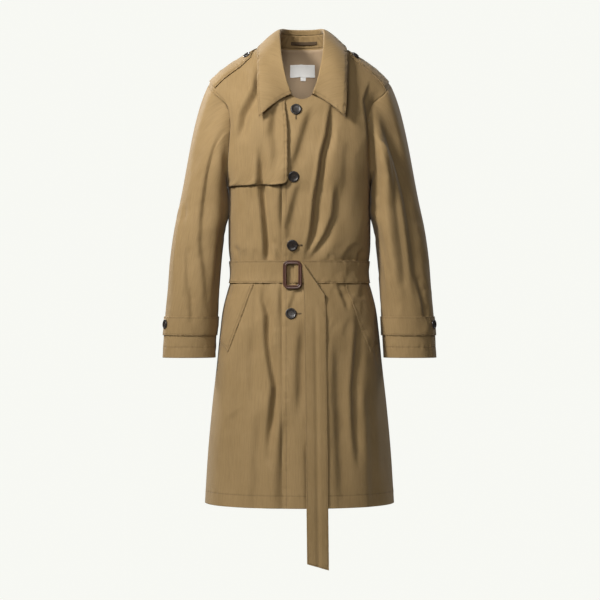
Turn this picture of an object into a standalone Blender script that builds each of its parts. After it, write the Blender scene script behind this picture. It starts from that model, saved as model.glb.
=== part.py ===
"""Belted trench coat of cotton gabardine, filled out as it is worn but with no wearer.

Metres, +Z up. The front faces -Y, and the wearer's left is +X. The origin lies in the
neck, level with the tops of the shoulders, where a wearer or a bust carries the coat.
Every cloth piece is a wall: a grid of outer points and the same grid moved in.
"""
import math

import bmesh
import bpy
import numpy as np

# ---- driving dimensions -------------------------------------------------------------
WALL = 0.0018            # body and sleeve cloth, with its turnings
TRIM = 0.0016            # doubled cloth of flap, straps, belt, welts and collar
GAP = 0.0003             # between pieces that are sewn together or lie on each other
HEM = -1.0720            # height of the coat's hem
UNDERARM = -0.3180       # top of the side seam
CHEST = -0.1900          # line where the yoke's curves begin
BELT_TOP, BELT_BOTTOM = -0.4955, -0.5475
CLOSING_EDGE = -0.0410   # free edge of the upper (wearer's left) front
UNDERLAP_EDGE = 0.0200   # hidden edge of the lower (wearer's right) front
NECK_SHIFT = 0.0060      # the neck sits a little towards the wearer's left
NECK_HALF = 0.0720       # half width of the neckline at the shoulder seams
NECK_SHARE = 0.5         # share of a panel's top edge that is neckline
NECK_FRONT = (-0.1180, -0.1170)   # y and z of the neckline at centre front
NECK_BACK = (0.0780, 0.0240)      # and at centre back
NECK_SIDE = (0.0080, 0.0260)      # and where the shoulder seam meets it
NECK_SWEEP = 0.55        # how strongly the front's cloth comes in to its neckline
NECK_HUMP = 0.0160       # how far the front neckline bulges between those two
SHOULDER_BEND = (0.1780, 0.0040, -0.0180)   # control point of the sloping shoulder seam
SHOULDER_TIP = (0.2190, 0.0000, -0.0740)    # where that seam meets the sleeve head
BUTTON_X = (-0.0077, -0.0140, -0.0170, -0.0189)
BUTTON_FIRST, BUTTON_STEP = -0.1422, -0.1592


def table(names, rows):
    """The columns of a short table as arrays, by name."""
    return dict(zip(names.split(), np.array(rows, float).T))


EPAULETTE_BUTTONS = ((-0.1155, -0.0060), (0.1310, -0.0050))
CUFF_BUTTON = (0.3187, -0.6458)
FRONT_RADIUS, CUFF_RADIUS, SMALL_RADIUS = 0.0130, 0.0110, 0.0100
BUCKLE, BUCKLE_PLACE = (0.0445, 0.0665), (-0.0164, -0.5286)
BUCKLE_BAR, BUCKLE_THICK, BUCKLE_CORNER = 0.0085, 0.0050, 0.0090
BAR_SIDES, BAR_FULL = 6, 1.155   # a six-sided bar, made as thick as a round one
BUCKLE_OFF = 0.0012      # how far the buckle stands off the tail under it
TAIL_START = -0.0120     # where the belt's free end begins, under the buckle
TAIL_FOLD = np.array(((0.0078, -0.5010), (0.0610, -0.5790)))   # the fold's two ends, x and z
TAIL_TURN = 0.0017       # radius of that fold
TAIL_ROWS = (-0.575, -0.620, -0.680, -0.760, -0.860, -0.960, -1.060, -1.100, -1.150, -1.200)
TAIL_END, TAIL_SLANT = -1.1998, 0.0152
TAIL_LEFT = ((0.501, 0.548, 1.200), (0.0085, 0.0105, 0.0179))   # its edges, depth and x
TAIL_RIGHT = ((0.579, 1.215), (0.0610, 0.0682))
TAIL_OFF = 0.0040        # how far its middle hangs in front of the skirt
TAIL_WIDTH = 0.0515      # its width under the buckle
TAIL_DROP = 0.06         # height over which it goes from its fold to the skirt
FLAP_SEAM, FLAP_TOP = 0.018, 0.020   # shares kept clear of the armhole and shoulder seams
FLAP_OFF = 0.0035        # how far the flap's free edges stand off the front
FLAP_SLANT = ((0.85, 2.0), (0.9, 0.3))   # its reach beyond the closing edge, by up value
COLLAR_ENDS, COLLAR_BACK = 0.09, 0.42   # across value of its ends; share on the back
COLLAR_ROLL = 0.0024     # radius of the collar's fold
STAND_SHARE = 0.28       # share of the stand's height that the fall's inner part covers
WELT = ((0.1080, -0.5510), (0.1676, -0.7110), (0.1880, -0.6880), (0.1587, -0.5510))
LINING_TOP = 0.06        # share of the top row's height left free at the seams
LINING_WALL, LABEL_WALL, TAPE_WALL = 0.0012, 0.0006, 0.0010
WELT_OFF, LABEL_OFF = 0.0011, 0.0012   # how far welts and label stand off their cloth
LABEL_EDGES = (-0.0239, 0.0388, -0.0131, -0.0427)   # left, right, top and bottom
TAB_EDGES = (0.0037, 0.0144, -0.0430, -0.0513)
TAPE_SPAN, TAPE_HEIGHTS, TAPE_BOW = (-0.0207, 0.0425), (0.0317, 0.0389), 0.0018
BUTTON_HEIGHT, BUTTON_SIDES = 0.0040, 12
EPAULETTE_ALONG = (0.965, 0.615)   # across values of a shoulder strap's two ends
RIGHT_AHEAD, LEFT_AHEAD = (0.044, 0.053), (0.040, 0.040)   # its widths in front at those

# Half of each level ring of the body. front_end and back_end are the angles, in degrees
# from centre front or back, at which the panel stops: at the side seam, then the armhole.
TORSO = table("height half_width front_depth back_depth squareness front_end back_end", (
    (-1.0720, 0.2268, 0.1720, 0.1660, 2.15, 90, 90),
    (-0.9480, 0.2190, 0.1640, 0.1590, 2.15, 90, 90),
    (-0.8400, 0.2090, 0.1560, 0.1510, 2.20, 90, 90),
    (-0.7368, 0.1975, 0.1480, 0.1430, 2.25, 90, 90),
    (-0.6600, 0.1900, 0.1400, 0.1350, 2.30, 90, 90),
    (-0.6100, 0.1835, 0.1320, 0.1260, 2.30, 90, 90),
    (-0.5640, 0.1720, 0.1230, 0.1140, 2.30, 90, 90),
    (-0.5450, 0.1665, 0.1190, 0.1080, 2.30, 90, 90),
    (-0.4950, 0.1665, 0.1190, 0.1080, 2.30, 90, 90),
    (-0.4750, 0.1690, 0.1230, 0.1120, 2.30, 90, 90),
    (-0.4100, 0.1705, 0.1300, 0.1180, 2.35, 90, 90),
    (-0.3180, 0.1715, 0.1370, 0.1240, 2.40, 90, 90),
    (-0.3080, 0.1730, 0.1375, 0.1245, 2.40, 80, 80),
    (-0.2920, 0.1775, 0.1380, 0.1250, 2.40, 72, 73),
    (-0.2600, 0.1850, 0.1385, 0.1255, 2.40, 66, 67),
    (-0.2200, 0.1890, 0.1370, 0.1240, 2.40, 63, 63),
    (-0.1900, 0.1905, 0.1340, 0.1210, 2.40, 62, 61),
))

# The armhole above the chest line, front and back, between the chest and the tip.
ARMHOLE = {
    -1: table("share x y z", (
        (0.30, 0.1715, -0.0690, -0.1480),
        (0.55, 0.1810, -0.0570, -0.1180),
        (0.80, 0.2070, -0.0370, -0.0920))),
    1: table("share x y z", (
        (0.30, 0.1745, 0.0660, -0.1440),
        (0.60, 0.1900, 0.0520, -0.1060),
        (0.82, 0.2080, 0.0300, -0.0860))),
}

# Main folds of each panel: a trough runs from one point to the other; width is how far
# it spreads to each side and depth how far it sinks. A negative depth is a ridge.
FOLDS = {
    -1: table("x0 z0 x1 z1 width depth", (
        (-0.089, -0.315, -0.076, -0.490, 0.015, 0.0080),
        (0.071, -0.150, 0.048, -0.307, 0.015, 0.0065),
        (0.048, -0.307, 0.027, -0.441, 0.014, 0.0060),
        (0.053, -0.132, 0.004, -0.307, 0.018, 0.0040),
        (0.076, -0.237, 0.054, -0.469, 0.016, 0.0035),
        (0.116, -0.150, 0.110, -0.330, 0.022, -0.0040),
        (0.148, -0.105, 0.160, -0.260, 0.012, 0.0050),
        (-0.118, -0.050, -0.137, -0.214, 0.018, 0.0045),
        (-0.106, -0.330, -0.118, -0.460, 0.020, -0.0030),
        (-0.083, -0.556, -0.074, -0.640, 0.016, 0.0060),
        (-0.074, -0.640, -0.076, -0.900, 0.020, 0.0050),
        (-0.106, -0.611, -0.139, -0.869, 0.026, 0.0035),
        (0.088, -0.555, 0.114, -0.620, 0.014, 0.0040),
        (0.134, -0.635, 0.140, -0.960, 0.020, 0.0060),
        (0.074, -0.600, 0.080, -1.056, 0.020, 0.0045),
        (0.001, -0.660, -0.010, -0.920, 0.022, 0.0040),
        (0.110, -0.820, 0.118, -1.072, 0.022, -0.0045),
        (-0.139, -0.822, -0.160, -1.072, 0.026, 0.0055))),
    1: table("x0 z0 x1 z1 width depth", (
        (-0.050, -0.330, -0.062, -0.490, 0.018, 0.0060),
        (0.046, -0.300, 0.058, -0.490, 0.018, 0.0060),
        (0.004, -0.380, 0.000, -0.490, 0.016, 0.0040),
        (-0.110, -0.240, -0.098, -0.470, 0.020, 0.0050),
        (0.112, -0.260, 0.104, -0.480, 0.020, 0.0050),
        (-0.060, -0.553, -0.078, -0.860, 0.020, 0.0060),
        (0.052, -0.553, 0.074, -0.900, 0.022, 0.0060),
        (-0.006, -0.560, -0.002, -0.740, 0.018, 0.0040),
        (-0.128, -0.600, -0.150, -1.072, 0.026, 0.0060),
        (0.126, -0.620, 0.146, -1.072, 0.026, 0.0060),
        (0.014, -0.820, 0.020, -1.072, 0.030, 0.0050))),
}

# Level rings of a hanging sleeve, top to bottom, and its cap above them.
SLEEVE = table("height centre_x half_width centre_y half_depth squareness", (
    (-0.3700, 0.2318, 0.0582, 0.0000, 0.0790, 2.1),
    (-0.4100, 0.2378, 0.0607, -0.0020, 0.0780, 2.1),
    (-0.4872, 0.2478, 0.0620, -0.0060, 0.0730, 2.1),
    (-0.5640, 0.2535, 0.0620, -0.0120, 0.0670, 2.1),
    (-0.6408, 0.2590, 0.0632, -0.0180, 0.0590, 2.1),
    (-0.7250, 0.2638, 0.0634, -0.0240, 0.0500, 2.1),
))
SLEEVE_FOLDS = {
    -1: table("turn0 z0 turn1 z1 width depth", (
        (118, -0.350, 112, -0.624, 0.013, 0.0070),
        (60, -0.400, 75, -0.560, 0.016, 0.0035),
        (146, -0.330, 142, -0.395, 0.020, -0.0100),
        (250, -0.420, 205, -0.500, 0.014, 0.0060),
        (240, -0.520, 300, -0.580, 0.014, 0.0045),
        (330, -0.300, 300, -0.450, 0.018, 0.0040))),
    1: table("turn0 z0 turn1 z1 width depth", (
        (40, -0.340, 50, -0.620, 0.014, 0.0060),
        (75, -0.300, 60, -0.480, 0.016, 0.0045),
        (120, -0.420, 110, -0.600, 0.016, 0.0035),
        (146, -0.330, 142, -0.395, 0.020, -0.0100),
        (245, -0.410, 200, -0.500, 0.014, 0.0060),
        (300, -0.500, 240, -0.590, 0.014, 0.0045))),
}

# Stations of half a collar from centre back to its front end: the fold on top, and the
# outer edge of the fall, each as x from the collar's middle, y and z.
COLLAR = table("share fold_x fold_y fold_z edge_x edge_y edge_z", (
    (0.00, 0.0000, 0.0620, 0.0665, 0.0000, 0.0930, 0.0130),
    (0.20, 0.0290, 0.0550, 0.0665, 0.0460, 0.0870, 0.0130),
    (0.36, 0.0450, 0.0340, 0.0650, 0.0840, 0.0600, 0.0160),
    (0.50, 0.0510, 0.0040, 0.0560, 0.1040, 0.0120, 0.0220),
    (0.64, 0.0505, -0.0420, 0.0270, 0.1070, -0.0500, -0.0060),
    (0.78, 0.0460, -0.0840, -0.0200, 0.1055, -0.0950, -0.0600),
    (0.90, 0.0350, -0.1110, -0.0720, 0.1045, -0.1220, -0.1120),
    (1.00, 0.0235, -0.1220, -0.1050, 0.1010, -0.1370, -0.1600),
))


# ---- curves and surfaces ------------------------------------------------------------
def smooth(knots, values, at):
    """A smooth curve through values at the knots, read at the places asked for."""
    values = np.asarray(values, float)
    at = np.clip(at, knots[0], knots[-1])
    low = np.clip(np.searchsorted(knots, at, side="right") - 1, 0, len(knots) - 2)
    step = knots[low + 1] - knots[low]
    slopes = np.gradient(values, knots, axis=0)
    share = (at - knots[low]) / step
    if values.ndim > 1:
        share, step = share[..., None], step[..., None]
    return blend(values[low], slopes[low] * step, values[low + 1], slopes[low + 1] * step, share)


def blend(start, leave, end, arrive, share):
    """Cubic from start to end that leaves and arrives along the given vectors."""
    two, three = share ** 2, share ** 3
    return ((2 * three - 3 * two + 1) * start + (three - 2 * two + share) * leave
            + (3 * two - 2 * three) * end + (three - two) * arrive)


def ease(low, high, at):
    """0 below low, 1 above high, smooth between."""
    share = np.clip((at - low) / (high - low), 0.0, 1.0)
    return share * share * (3 - 2 * share)


def unit(vectors):
    return vectors / np.maximum(np.linalg.norm(vectors, axis=-1, keepdims=True), 1e-12)


def ring(side, across, height):
    """Point of a level ring of the body; side is -1 for the front and 1 for the back."""
    half = smooth(TORSO["height"], TORSO["half_width"], height)
    deep = smooth(TORSO["height"], TORSO["front_depth" if side < 0 else "back_depth"], height)
    power = smooth(TORSO["height"], TORSO["squareness"], height)
    end = smooth(TORSO["height"], TORSO["front_end" if side < 0 else "back_end"], height)
    sine = np.sin(across * np.radians(np.minimum(end, 90)))
    bulge = np.maximum(1 - np.abs(sine) ** power, 0) ** (1 / power)
    return np.stack([half * sine, side * deep * bulge, height + 0 * sine], -1)


def top_edge(side, across):
    """Neckline and shoulder seam of a panel, and the direction its cloth arrives in."""
    reach = np.abs(across)
    turn = np.minimum(reach / NECK_SHARE, 1) * math.pi / 2
    rise = 1 - np.cos(turn)
    middle = NECK_FRONT if side < 0 else NECK_BACK
    neck = np.stack([NECK_HALF * np.sin(turn),
                     middle[0] + (NECK_SIDE[0] - middle[0]) * rise,
                     middle[1] + (NECK_SIDE[1] - middle[1]) * rise], -1)
    if side < 0:
        neck = neck + (NECK_HUMP * 4 * rise * (1 - rise))[..., None] * np.array([0, -0.75, 0.66])
    share = np.clip((reach - NECK_SHARE) / (1 - NECK_SHARE), 0, 1)[..., None]
    root = np.array([NECK_HALF, *NECK_SIDE])
    seam = ((1 - share) ** 2 * root + 2 * share * (1 - share) * np.array(SHOULDER_BEND)
            + share ** 2 * np.array(SHOULDER_TIP))
    edge = np.where((reach <= NECK_SHARE)[..., None], neck, seam)
    edge[..., 0] = np.sign(across) * edge[..., 0] + NECK_SHIFT * (1 - share[..., 0])
    lean = 0.25 * np.cos(turn) + 0.55 * np.sin(turn)
    sweep = NECK_SWEEP * np.sin(turn) * (1 - ease(NECK_SHARE, NECK_SHARE + 0.25, reach))
    arrive = np.stack([-np.sign(across) * sweep * (side < 0), -side * lean,
                       np.cos(turn) + 0.25 * np.sin(2 * turn)], -1)
    return edge, arrive


def armhole(side, share):
    """Armhole edge of the wearer's left half, from the chest line up to the tip."""
    rows = ARMHOLE[side]
    knots = np.concatenate([[0], rows["share"], [1]])
    inner = np.stack([rows["x"], rows["y"], rows["z"]], -1)
    points = np.vstack([ring(side, np.array(1.0), np.array(CHEST)), inner, SHOULDER_TIP])
    return smooth(knots, points, share)


def bare(side, across, up):
    """The body's surface without folds. across is -1 to 1 from the right seam to the left;
    up is 0 at the hem, 1 at the chest line and 2 at the neckline and shoulder seams."""
    across, up = np.broadcast_arrays(np.asarray(across, float), np.asarray(up, float))
    low = ring(side, across, HEM + np.clip(up, 0, 1) * (CHEST - HEM))
    share = np.clip(up - 1, 0, 1)
    start = ring(side, across, np.full(across.shape, CHEST))
    leave = unit(start - ring(side, across, np.full(across.shape, CHEST - 0.004)))
    top, arrive = top_edge(side, across)
    length = np.linalg.norm(top - start, axis=-1, keepdims=True)
    yoke = blend(start, leave * length * 1.1, top, arrive * length, share[..., None])
    ends = np.sign(across) + (across == 0)
    tip, tip_arrive = top_edge(side, ends)
    seat = ring(side, ends, np.full(across.shape, CHEST))
    seat_leave = unit(seat - ring(side, ends, np.full(across.shape, CHEST - 0.004)))
    span = np.linalg.norm(tip - seat, axis=-1, keepdims=True)
    plain = blend(seat, seat_leave * span * 1.1, tip, tip_arrive * span, share[..., None])
    wanted = armhole(side, share)
    wanted[..., 0] *= ends
    yoke = yoke + (np.abs(across) ** 4)[..., None] * (wanted - plain)
    return np.where((up <= 1)[..., None], low, yoke)


def facing(surface, side, across, up):
    """Unit vectors out of the surface."""
    step = 0.004
    across = np.clip(across, -1 + 2 * step, 1 - 2 * step)
    up = np.clip(up, 2 * step, 1.94)
    over = surface(side, across + step, up) - surface(side, across - step, up)
    along = surface(side, across, up + step) - surface(side, across, up - step)
    return -side * unit(np.cross(over, along))


def fold_depth(rows, first, second):
    """How far the folds sink the cloth at a place."""
    keys = list(rows)
    total = 0.0
    for a0, b0, a1, b1, width, depth in zip(*(rows[key] for key in keys)):
        run = np.array([a1 - a0, b1 - b0])
        share = ((first - a0) * run[0] + (second - b0) * run[1]) / (run @ run)
        near = np.clip(share, 0, 1)
        away = np.hypot(first - a0 - near * run[0], second - b0 - near * run[1])
        total = total + depth * np.exp(-(away / width) ** 2)
    return total


def cloth(side, across, up):
    """The body's outer surface with its folds, which die out at seams and under the belt."""
    across, up = np.broadcast_arrays(np.asarray(across, float), np.asarray(up, float))
    point = bare(side, across, up)
    sink = fold_depth(FOLDS[side], point[..., 0], point[..., 2])
    calm = (1 - np.abs(across) ** 8) * (1 - ease(1.75, 1.98, up))
    middle = (BELT_TOP + BELT_BOTTOM) / 2
    under_belt = np.exp(-((point[..., 2] - middle) / 0.026) ** 4)
    outward = facing(bare, side, across, up)
    sink = sink * calm * (1 - 0.7 * under_belt)
    return point - outward * sink[..., None]


def level(height):
    """The up value of a height below the chest line."""
    return (height - HEM) / (CHEST - HEM)


def across_at(side, x, height):
    """The across value of a place x on the level ring at a height below the chest line."""
    half = smooth(TORSO["height"], TORSO["half_width"], height)
    end = smooth(TORSO["height"], TORSO["front_end" if side < 0 else "back_end"], height)
    return np.arcsin(np.clip(x / half, -1, 1)) / np.radians(np.minimum(end, 90))


def front_y(x, z):
    """The y of the front's surface without folds, at a place below the chest line."""
    z = z + 0 * x
    return ring(-1, across_at(-1, x, z), z)[..., 1]


def find(side, x, z):
    """The across and up values of the place on a panel that shows at x and z."""
    across, up = x / 0.2, min(max(level(z), 0.02), 1.6)
    step = 0.002
    for _ in range(40):
        here = cloth(side, across, up)[[0, 2]]
        by_across = (cloth(side, across + step, up)[[0, 2]] - here) / step
        by_up = (cloth(side, across, up + step)[[0, 2]] - here) / step
        grid = np.column_stack([by_across, by_up])
        move = np.linalg.solve(grid, np.array([x, z]) - here)
        across = float(np.clip(across + np.clip(move[0], -0.15, 0.15), -0.98, 0.98))
        up = float(np.clip(up + np.clip(move[1], -0.15, 0.15), 0.01, 1.98))
    return across, up


# ---- meshes -------------------------------------------------------------------------
def material(name, color, roughness):
    made = bpy.data.materials.new(name)
    made.use_nodes = True
    shader = made.node_tree.nodes["Principled BSDF"]
    shader.inputs["Base Color"].default_value = (*color, 1)
    shader.inputs["Roughness"].default_value = roughness
    shader.inputs["Metallic"].default_value = 0
    return made


def add(name, points, faces, color, roughness, sharp=40):
    mesh = bpy.data.meshes.new(name)
    mesh.from_pydata([tuple(point) for point in points], [], faces)
    work = bmesh.new()
    work.from_mesh(mesh)
    bmesh.ops.recalc_face_normals(work, faces=work.faces)
    work.to_mesh(mesh)
    work.free()
    mesh.shade_smooth()
    mesh.set_sharp_from_angle(angle=math.radians(sharp))
    mesh.materials.append(material(name, color, roughness))
    piece = bpy.data.objects.new(name, mesh)
    bpy.context.scene.collection.objects.link(piece)
    return piece


def wall(name, outer, inner, color, roughness=0.85, around=False):
    """A closed wall between two grids of points; around joins its first and last columns."""
    rows, columns = outer.shape[:2]
    layer = rows * columns
    last = columns if around else columns - 1
    faces = []

    def at(row, column, deep):
        return deep * layer + row * columns + column % columns

    def quad(first, second, third, fourth, turned_over):
        """Two triangles with the same diagonal on both sides of the wall."""
        for face in ((first, second, third), (first, third, fourth)):
            faces.append(face[::-1] if turned_over else face)

    for row in range(rows - 1):
        for column in range(last):
            for deep in (0, 1):
                quad(at(row, column, deep), at(row, column + 1, deep),
                     at(row + 1, column + 1, deep), at(row + 1, column, deep), deep == 1)
    for row in (0, rows - 1):
        for column in range(last):
            quad(at(row, column, 0), at(row, column, 1), at(row, column + 1, 1),
                 at(row, column + 1, 0), row > 0)
    if not around:
        for column in (0, columns - 1):
            for row in range(rows - 1):
                quad(at(row, column, 0), at(row + 1, column, 0), at(row + 1, column, 1),
                     at(row, column, 1), column > 0)
    points = np.concatenate([outer.reshape(-1, 3), inner.reshape(-1, 3)])
    return add(name, points, faces, color, roughness)


def pull_in(grid, axis, which, distance):
    """Shorten a grid at one edge by a distance, along its own lines."""
    lines = np.moveaxis(grid, axis, 0)
    edge, beside = (0, 1) if which == 0 else (-1, -2)
    lines[edge] += unit(lines[beside] - lines[edge]) * distance


KHAKI = (0.293, 0.206, 0.105)
LINING = (0.262, 0.188, 0.110)
HORN = (0.030, 0.022, 0.020)
LEATHER = (0.125, 0.036, 0.020)
LABEL = (0.83, 0.82, 0.78)
TAPE = (0.070, 0.048, 0.028)

# Heights of the sleeve's rings, and the first and last of those under the cuff strap.
SLEEVE_ROWS = (-0.370, -0.400, -0.430, -0.460, -0.490, -0.520, -0.550, -0.580, -0.605,
               -0.6276, -0.6500, -0.6720, -0.7000, -0.7250)
STRAP_ROWS = (9, 11)
STRAP_START, STRAP_POINT = 215.0, 7.0     # where it begins, and how far its tip runs on

BODY_ROWS = np.concatenate([
    level(np.linspace(HEM, -0.560, 13)),
    level(np.array([BELT_BOTTOM, -0.5210, BELT_TOP])),
    level(np.linspace(-0.472, UNDERARM, 6)),
    level(np.array([-0.3080, -0.2880, -0.2560, -0.2200])),
    1 + np.array([0.0, 0.16, 0.32, 0.48, 0.64, 0.80, 1.0]),
])


def panel(side, across, up):
    """Outer and inner points of the body cloth, with true normals at its seams."""
    outer = cloth(side, across, up)
    out = facing(cloth, side, across, up)
    at_side = np.abs(across) > 0.999
    at_shoulder = (up > 1.999) & (np.abs(across) > NECK_SHARE - 0.001)
    out[..., 1] = np.where(at_side & (up <= level(UNDERARM) + 1e-6) | at_shoulder, 0,
                           out[..., 1])
    return outer, unit(out)


def across_grid(lines, rows):
    """Across values of a panel's grid. lines lists its upright lines, each with the
    number of columns up to the next."""
    stops = [line(rows) for line, _ in lines]
    parts = []
    for (_, count), here, beyond in zip(lines, stops, stops[1:]):
        share = np.arange(count) / count
        parts.append(here[:, None] * (1 - share) + beyond[:, None] * share)
    return np.hstack([*parts, stops[-1][:, None]])


def body_piece(name, side, lines, sink=None):
    """One panel of the body, from hem to neckline and shoulder."""
    across = across_grid(lines, BODY_ROWS)
    up = np.repeat(BODY_ROWS[:, None], across.shape[1], axis=1)
    outer, out = panel(side, across, up)
    if sink is not None:
        outer = outer - out * sink(outer)[..., None]
    inner = outer - out * WALL
    for grid in (outer, inner):
        for edge in (0, 1):
            pull_in(grid, 1, edge, GAP / 2)
        pull_in(grid, 0, 1, GAP / 2)
    wall(name, outer, inner, KHAKI)
    return outer


def edge_line(x):
    """Across values of an upright edge at x on the front, for each row of the grid."""
    def read(rows):
        height = HEM + np.minimum(rows, 1) * (CHEST - HEM)
        return across_at(-1, x, height)
    return read


def constant(value):
    return lambda rows: np.full(len(rows), float(value))


# Upright lines of the panels' grids, right to left, with the columns up to the next.
FRONT_LINES = [(constant(-1), 6), (constant(-NECK_SHARE), 6), (edge_line(CLOSING_EDGE), 4),
               (edge_line(UNDERLAP_EDGE), 6), (constant(NECK_SHARE), 7), (constant(1), 0)]
BACK_LINES = [(constant(-1), 5), (constant(-NECK_SHARE), 12), (constant(NECK_SHARE), 5),
              (constant(1), 0)]


def underlap(points):
    """The lower front drops behind the upper one where the two overlap."""
    return (WALL + GAP + 0.0002) * ease(-0.064, -0.043, points[..., 0])


def sleeve_ring(hand, turn, height):
    """Point of a sleeve's level ring; turn is 0 outside, 90 degrees in front."""
    read = {key: smooth(-SLEEVE["height"], SLEEVE[key], -height) for key in SLEEVE}
    cosine, sine = np.cos(turn), np.sin(turn)
    size = (np.abs(cosine) ** read["squareness"] + np.abs(sine) ** read["squareness"])
    size = size ** (-1 / read["squareness"])
    sunk = fold_depth(SLEEVE_FOLDS[hand], np.degrees(turn) % 360 * 0.0011,
                      height + 0 * turn)
    wide = read["half_width"] * size - sunk
    deep = read["half_depth"] * size - sunk
    return np.stack([hand * (read["centre_x"] + wide * cosine),
                     read["centre_y"] - deep * sine, height + 0 * turn], -1)


def edge_at(side, across, up):
    """Outer and inner points of a panel's edge."""
    outer, out = panel(side, across, up)
    return outer, outer - out * WALL


def armhole_loop(hand):
    """The panels' own armhole points, outer and inner, from the tip down the front and up
    the back, with the direction out of the hole's edge and each point's turn."""
    up = BODY_ROWS[BODY_ROWS >= level(UNDERARM) - 1e-9]
    ends = np.full(len(up), float(hand))
    front, front_in = edge_at(-1, ends, up)
    rear, rear_in = edge_at(1, ends, up)
    outer = np.vstack([front[::-1], rear[1:-1]])
    inner = np.vstack([front_in[::-1], rear_in[1:-1]])
    steps = np.linalg.norm(np.roll(outer, -1, axis=0) - outer, axis=1)
    run = np.concatenate([[0], np.cumsum(steps)])
    half = run[len(up) - 1]
    turn = np.interp(run[:-1], [0, half, run[-1]], [0, math.pi, 2 * math.pi])
    ahead = np.roll(outer, -1, axis=0) - np.roll(outer, 1, axis=0)
    away = -hand * unit(np.cross(unit(ahead), unit(outer - inner)))
    return outer, inner, away, turn


def sleeve_grid(hand):
    """A sleeve's outer and inner points and the turn of each column: its cap rises from
    the armhole and blends into hanging level rings."""
    outer0, inner0, away, turn = armhole_loop(hand)
    columns = len(turn)
    start, start_in = outer0 + away * GAP, inner0 + away * GAP
    top = SLEEVE["height"][0]
    seat = sleeve_ring(hand, turn, np.full(columns, top))
    below = sleeve_ring(hand, turn, np.full(columns, top - 0.01))
    inside = (1 - np.cos(turn)) / 2
    leave = unit(np.stack([hand * (0.45 + 0.5 * inside), -0.40 * np.sin(turn),
                           -0.89 + 1.1 * inside], -1))
    span = np.linalg.norm(seat - start, axis=1, keepdims=True)
    rows = [start]
    for share in (0.10, 0.20, 0.32, 0.45, 0.60, 0.75, 0.88):
        rows.append(blend(start, leave * span * 0.8, seat, unit(below - seat) * span, share))
    for height in SLEEVE_ROWS:
        rows.append(sleeve_ring(hand, turn, np.full(columns, height)))
    outer = np.array(rows)
    round_it = np.roll(outer, -1, axis=1) - np.roll(outer, 1, axis=1)
    out = hand * unit(np.cross(round_it, np.gradient(outer, axis=0)))
    inner = outer - out * WALL
    inner[0] = start_in
    return outer, inner, out, turn


def sleeve(name, hand):
    outer, inner, _, _ = sleeve_grid(hand)
    return wall(name, outer, inner, KHAKI, around=True)


def cuff_strap(name, hand):
    """Strap round the cuff, from the back of the forearm over its inner side and front to a
    pointed end outside. It takes the sleeve's own rows and columns. Returns its outside."""
    outer, _, out, turn = sleeve_grid(hand)
    low = len(outer) - len(SLEEVE_ROWS) + STRAP_ROWS[0]
    high = low + STRAP_ROWS[1] - STRAP_ROWS[0] + 1
    turn = np.degrees(np.concatenate([turn, [2 * math.pi]]))
    base = np.concatenate([outer, outer[:, :1]], axis=1)[low:high]
    out = np.concatenate([out, out[:, :1]], axis=1)[low:high]
    between = turn[(turn < STRAP_START - 4) & (turn >= 0)][::-1]
    point = turn[-2] - 360
    stops = np.concatenate([[STRAP_START], between, [point + STRAP_POINT]])
    places = np.repeat(stops[None], len(base), axis=0)
    places[1:-1, -1] = point
    places %= 360

    def read(grid):
        return np.array([[[np.interp(one, turn, line[:, axis]) for axis in range(3)]
                          for one in row] for row, line in zip(places, grid)])

    on, away = read(base), unit(read(out))
    inside = on + away * GAP
    wall(name, inside + away * TRIM, inside, KHAKI)
    return inside + away * TRIM


def overlay(name, side, across, up, lift, thickness=TRIM, color=KHAKI):
    """A piece that lies on a body panel, made from the panel's points moved out."""
    base = cloth(side, across, up)
    out = panel(side, across, up)[1]
    lift = np.asarray(lift) + np.zeros(across.shape)
    inner = base + out * lift[..., None]
    outer = inner + out * thickness
    return wall(name, outer, inner, color)


def seat(grid, wanted, radius):
    """Where a flat round piece rests on a surface, given as a grid of points: the place
    nearest to the wanted x and z, just clear of the cloth, and the direction out."""
    fine = np.linspace(0, 1, 6)[:-1]
    down, right = np.meshgrid(fine, fine, indexing="ij")
    corners = [grid[:-1, :-1], grid[:-1, 1:], grid[1:, :-1], grid[1:, 1:]]
    shares = [(1 - down) * (1 - right), (1 - down) * right, down * (1 - right), down * right]
    points = sum(corner[..., None, None, :] * share[..., None]
                 for corner, share in zip(corners, shares)).reshape(-1, 3)
    centre = points[np.argmin(np.hypot(points[:, 0] - wanted[0], points[:, 2] - wanted[1]))]
    near = points[np.linalg.norm(points - centre, axis=1) < radius * 1.15]
    out = np.linalg.svd(near - near.mean(axis=0))[2][2]
    out = out * np.sign(out @ (centre - np.array([0, 0, centre[2] - 0.05])))
    highest = np.max((near - centre) @ out)
    return centre + out * (highest + GAP), out


def storm_flap():
    """Loose flap over the wearer's right chest, sewn in at shoulder, neck and armhole.
    It takes the panel's own columns and one more beyond the closing edge."""
    rows = BODY_ROWS[BODY_ROWS >= level(UNDERARM) - 1e-9]
    across = across_grid(FRONT_LINES, rows)[:, :14]
    slant = np.interp(rows, FLAP_SLANT[0], FLAP_SLANT[1])
    across[:, -1] = across[:, -2] + slant * (across[:, -1] - across[:, -2])
    rounded = np.array([0.9, 0.35])
    across[:2, -1] += rounded * (across[:2, -2] - across[:2, -1])
    across[:, 0] = -1 + FLAP_SEAM
    up = np.repeat(rows[:, None], across.shape[1], axis=1)
    up[-1] = 2 - FLAP_TOP
    share = np.linspace(0, 1, across.shape[1])
    loose = ease(0.7, 1.0, share)[None, :] * (1 - ease(1.2, 1.9, up))
    hang = (1 - ease(level(-0.318), level(-0.26), up)) * ease(0.05, 0.3, share)[None, :]
    overlay("storm_flap", -1, across, up, GAP + FLAP_OFF * np.maximum(loose, hang))


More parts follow.
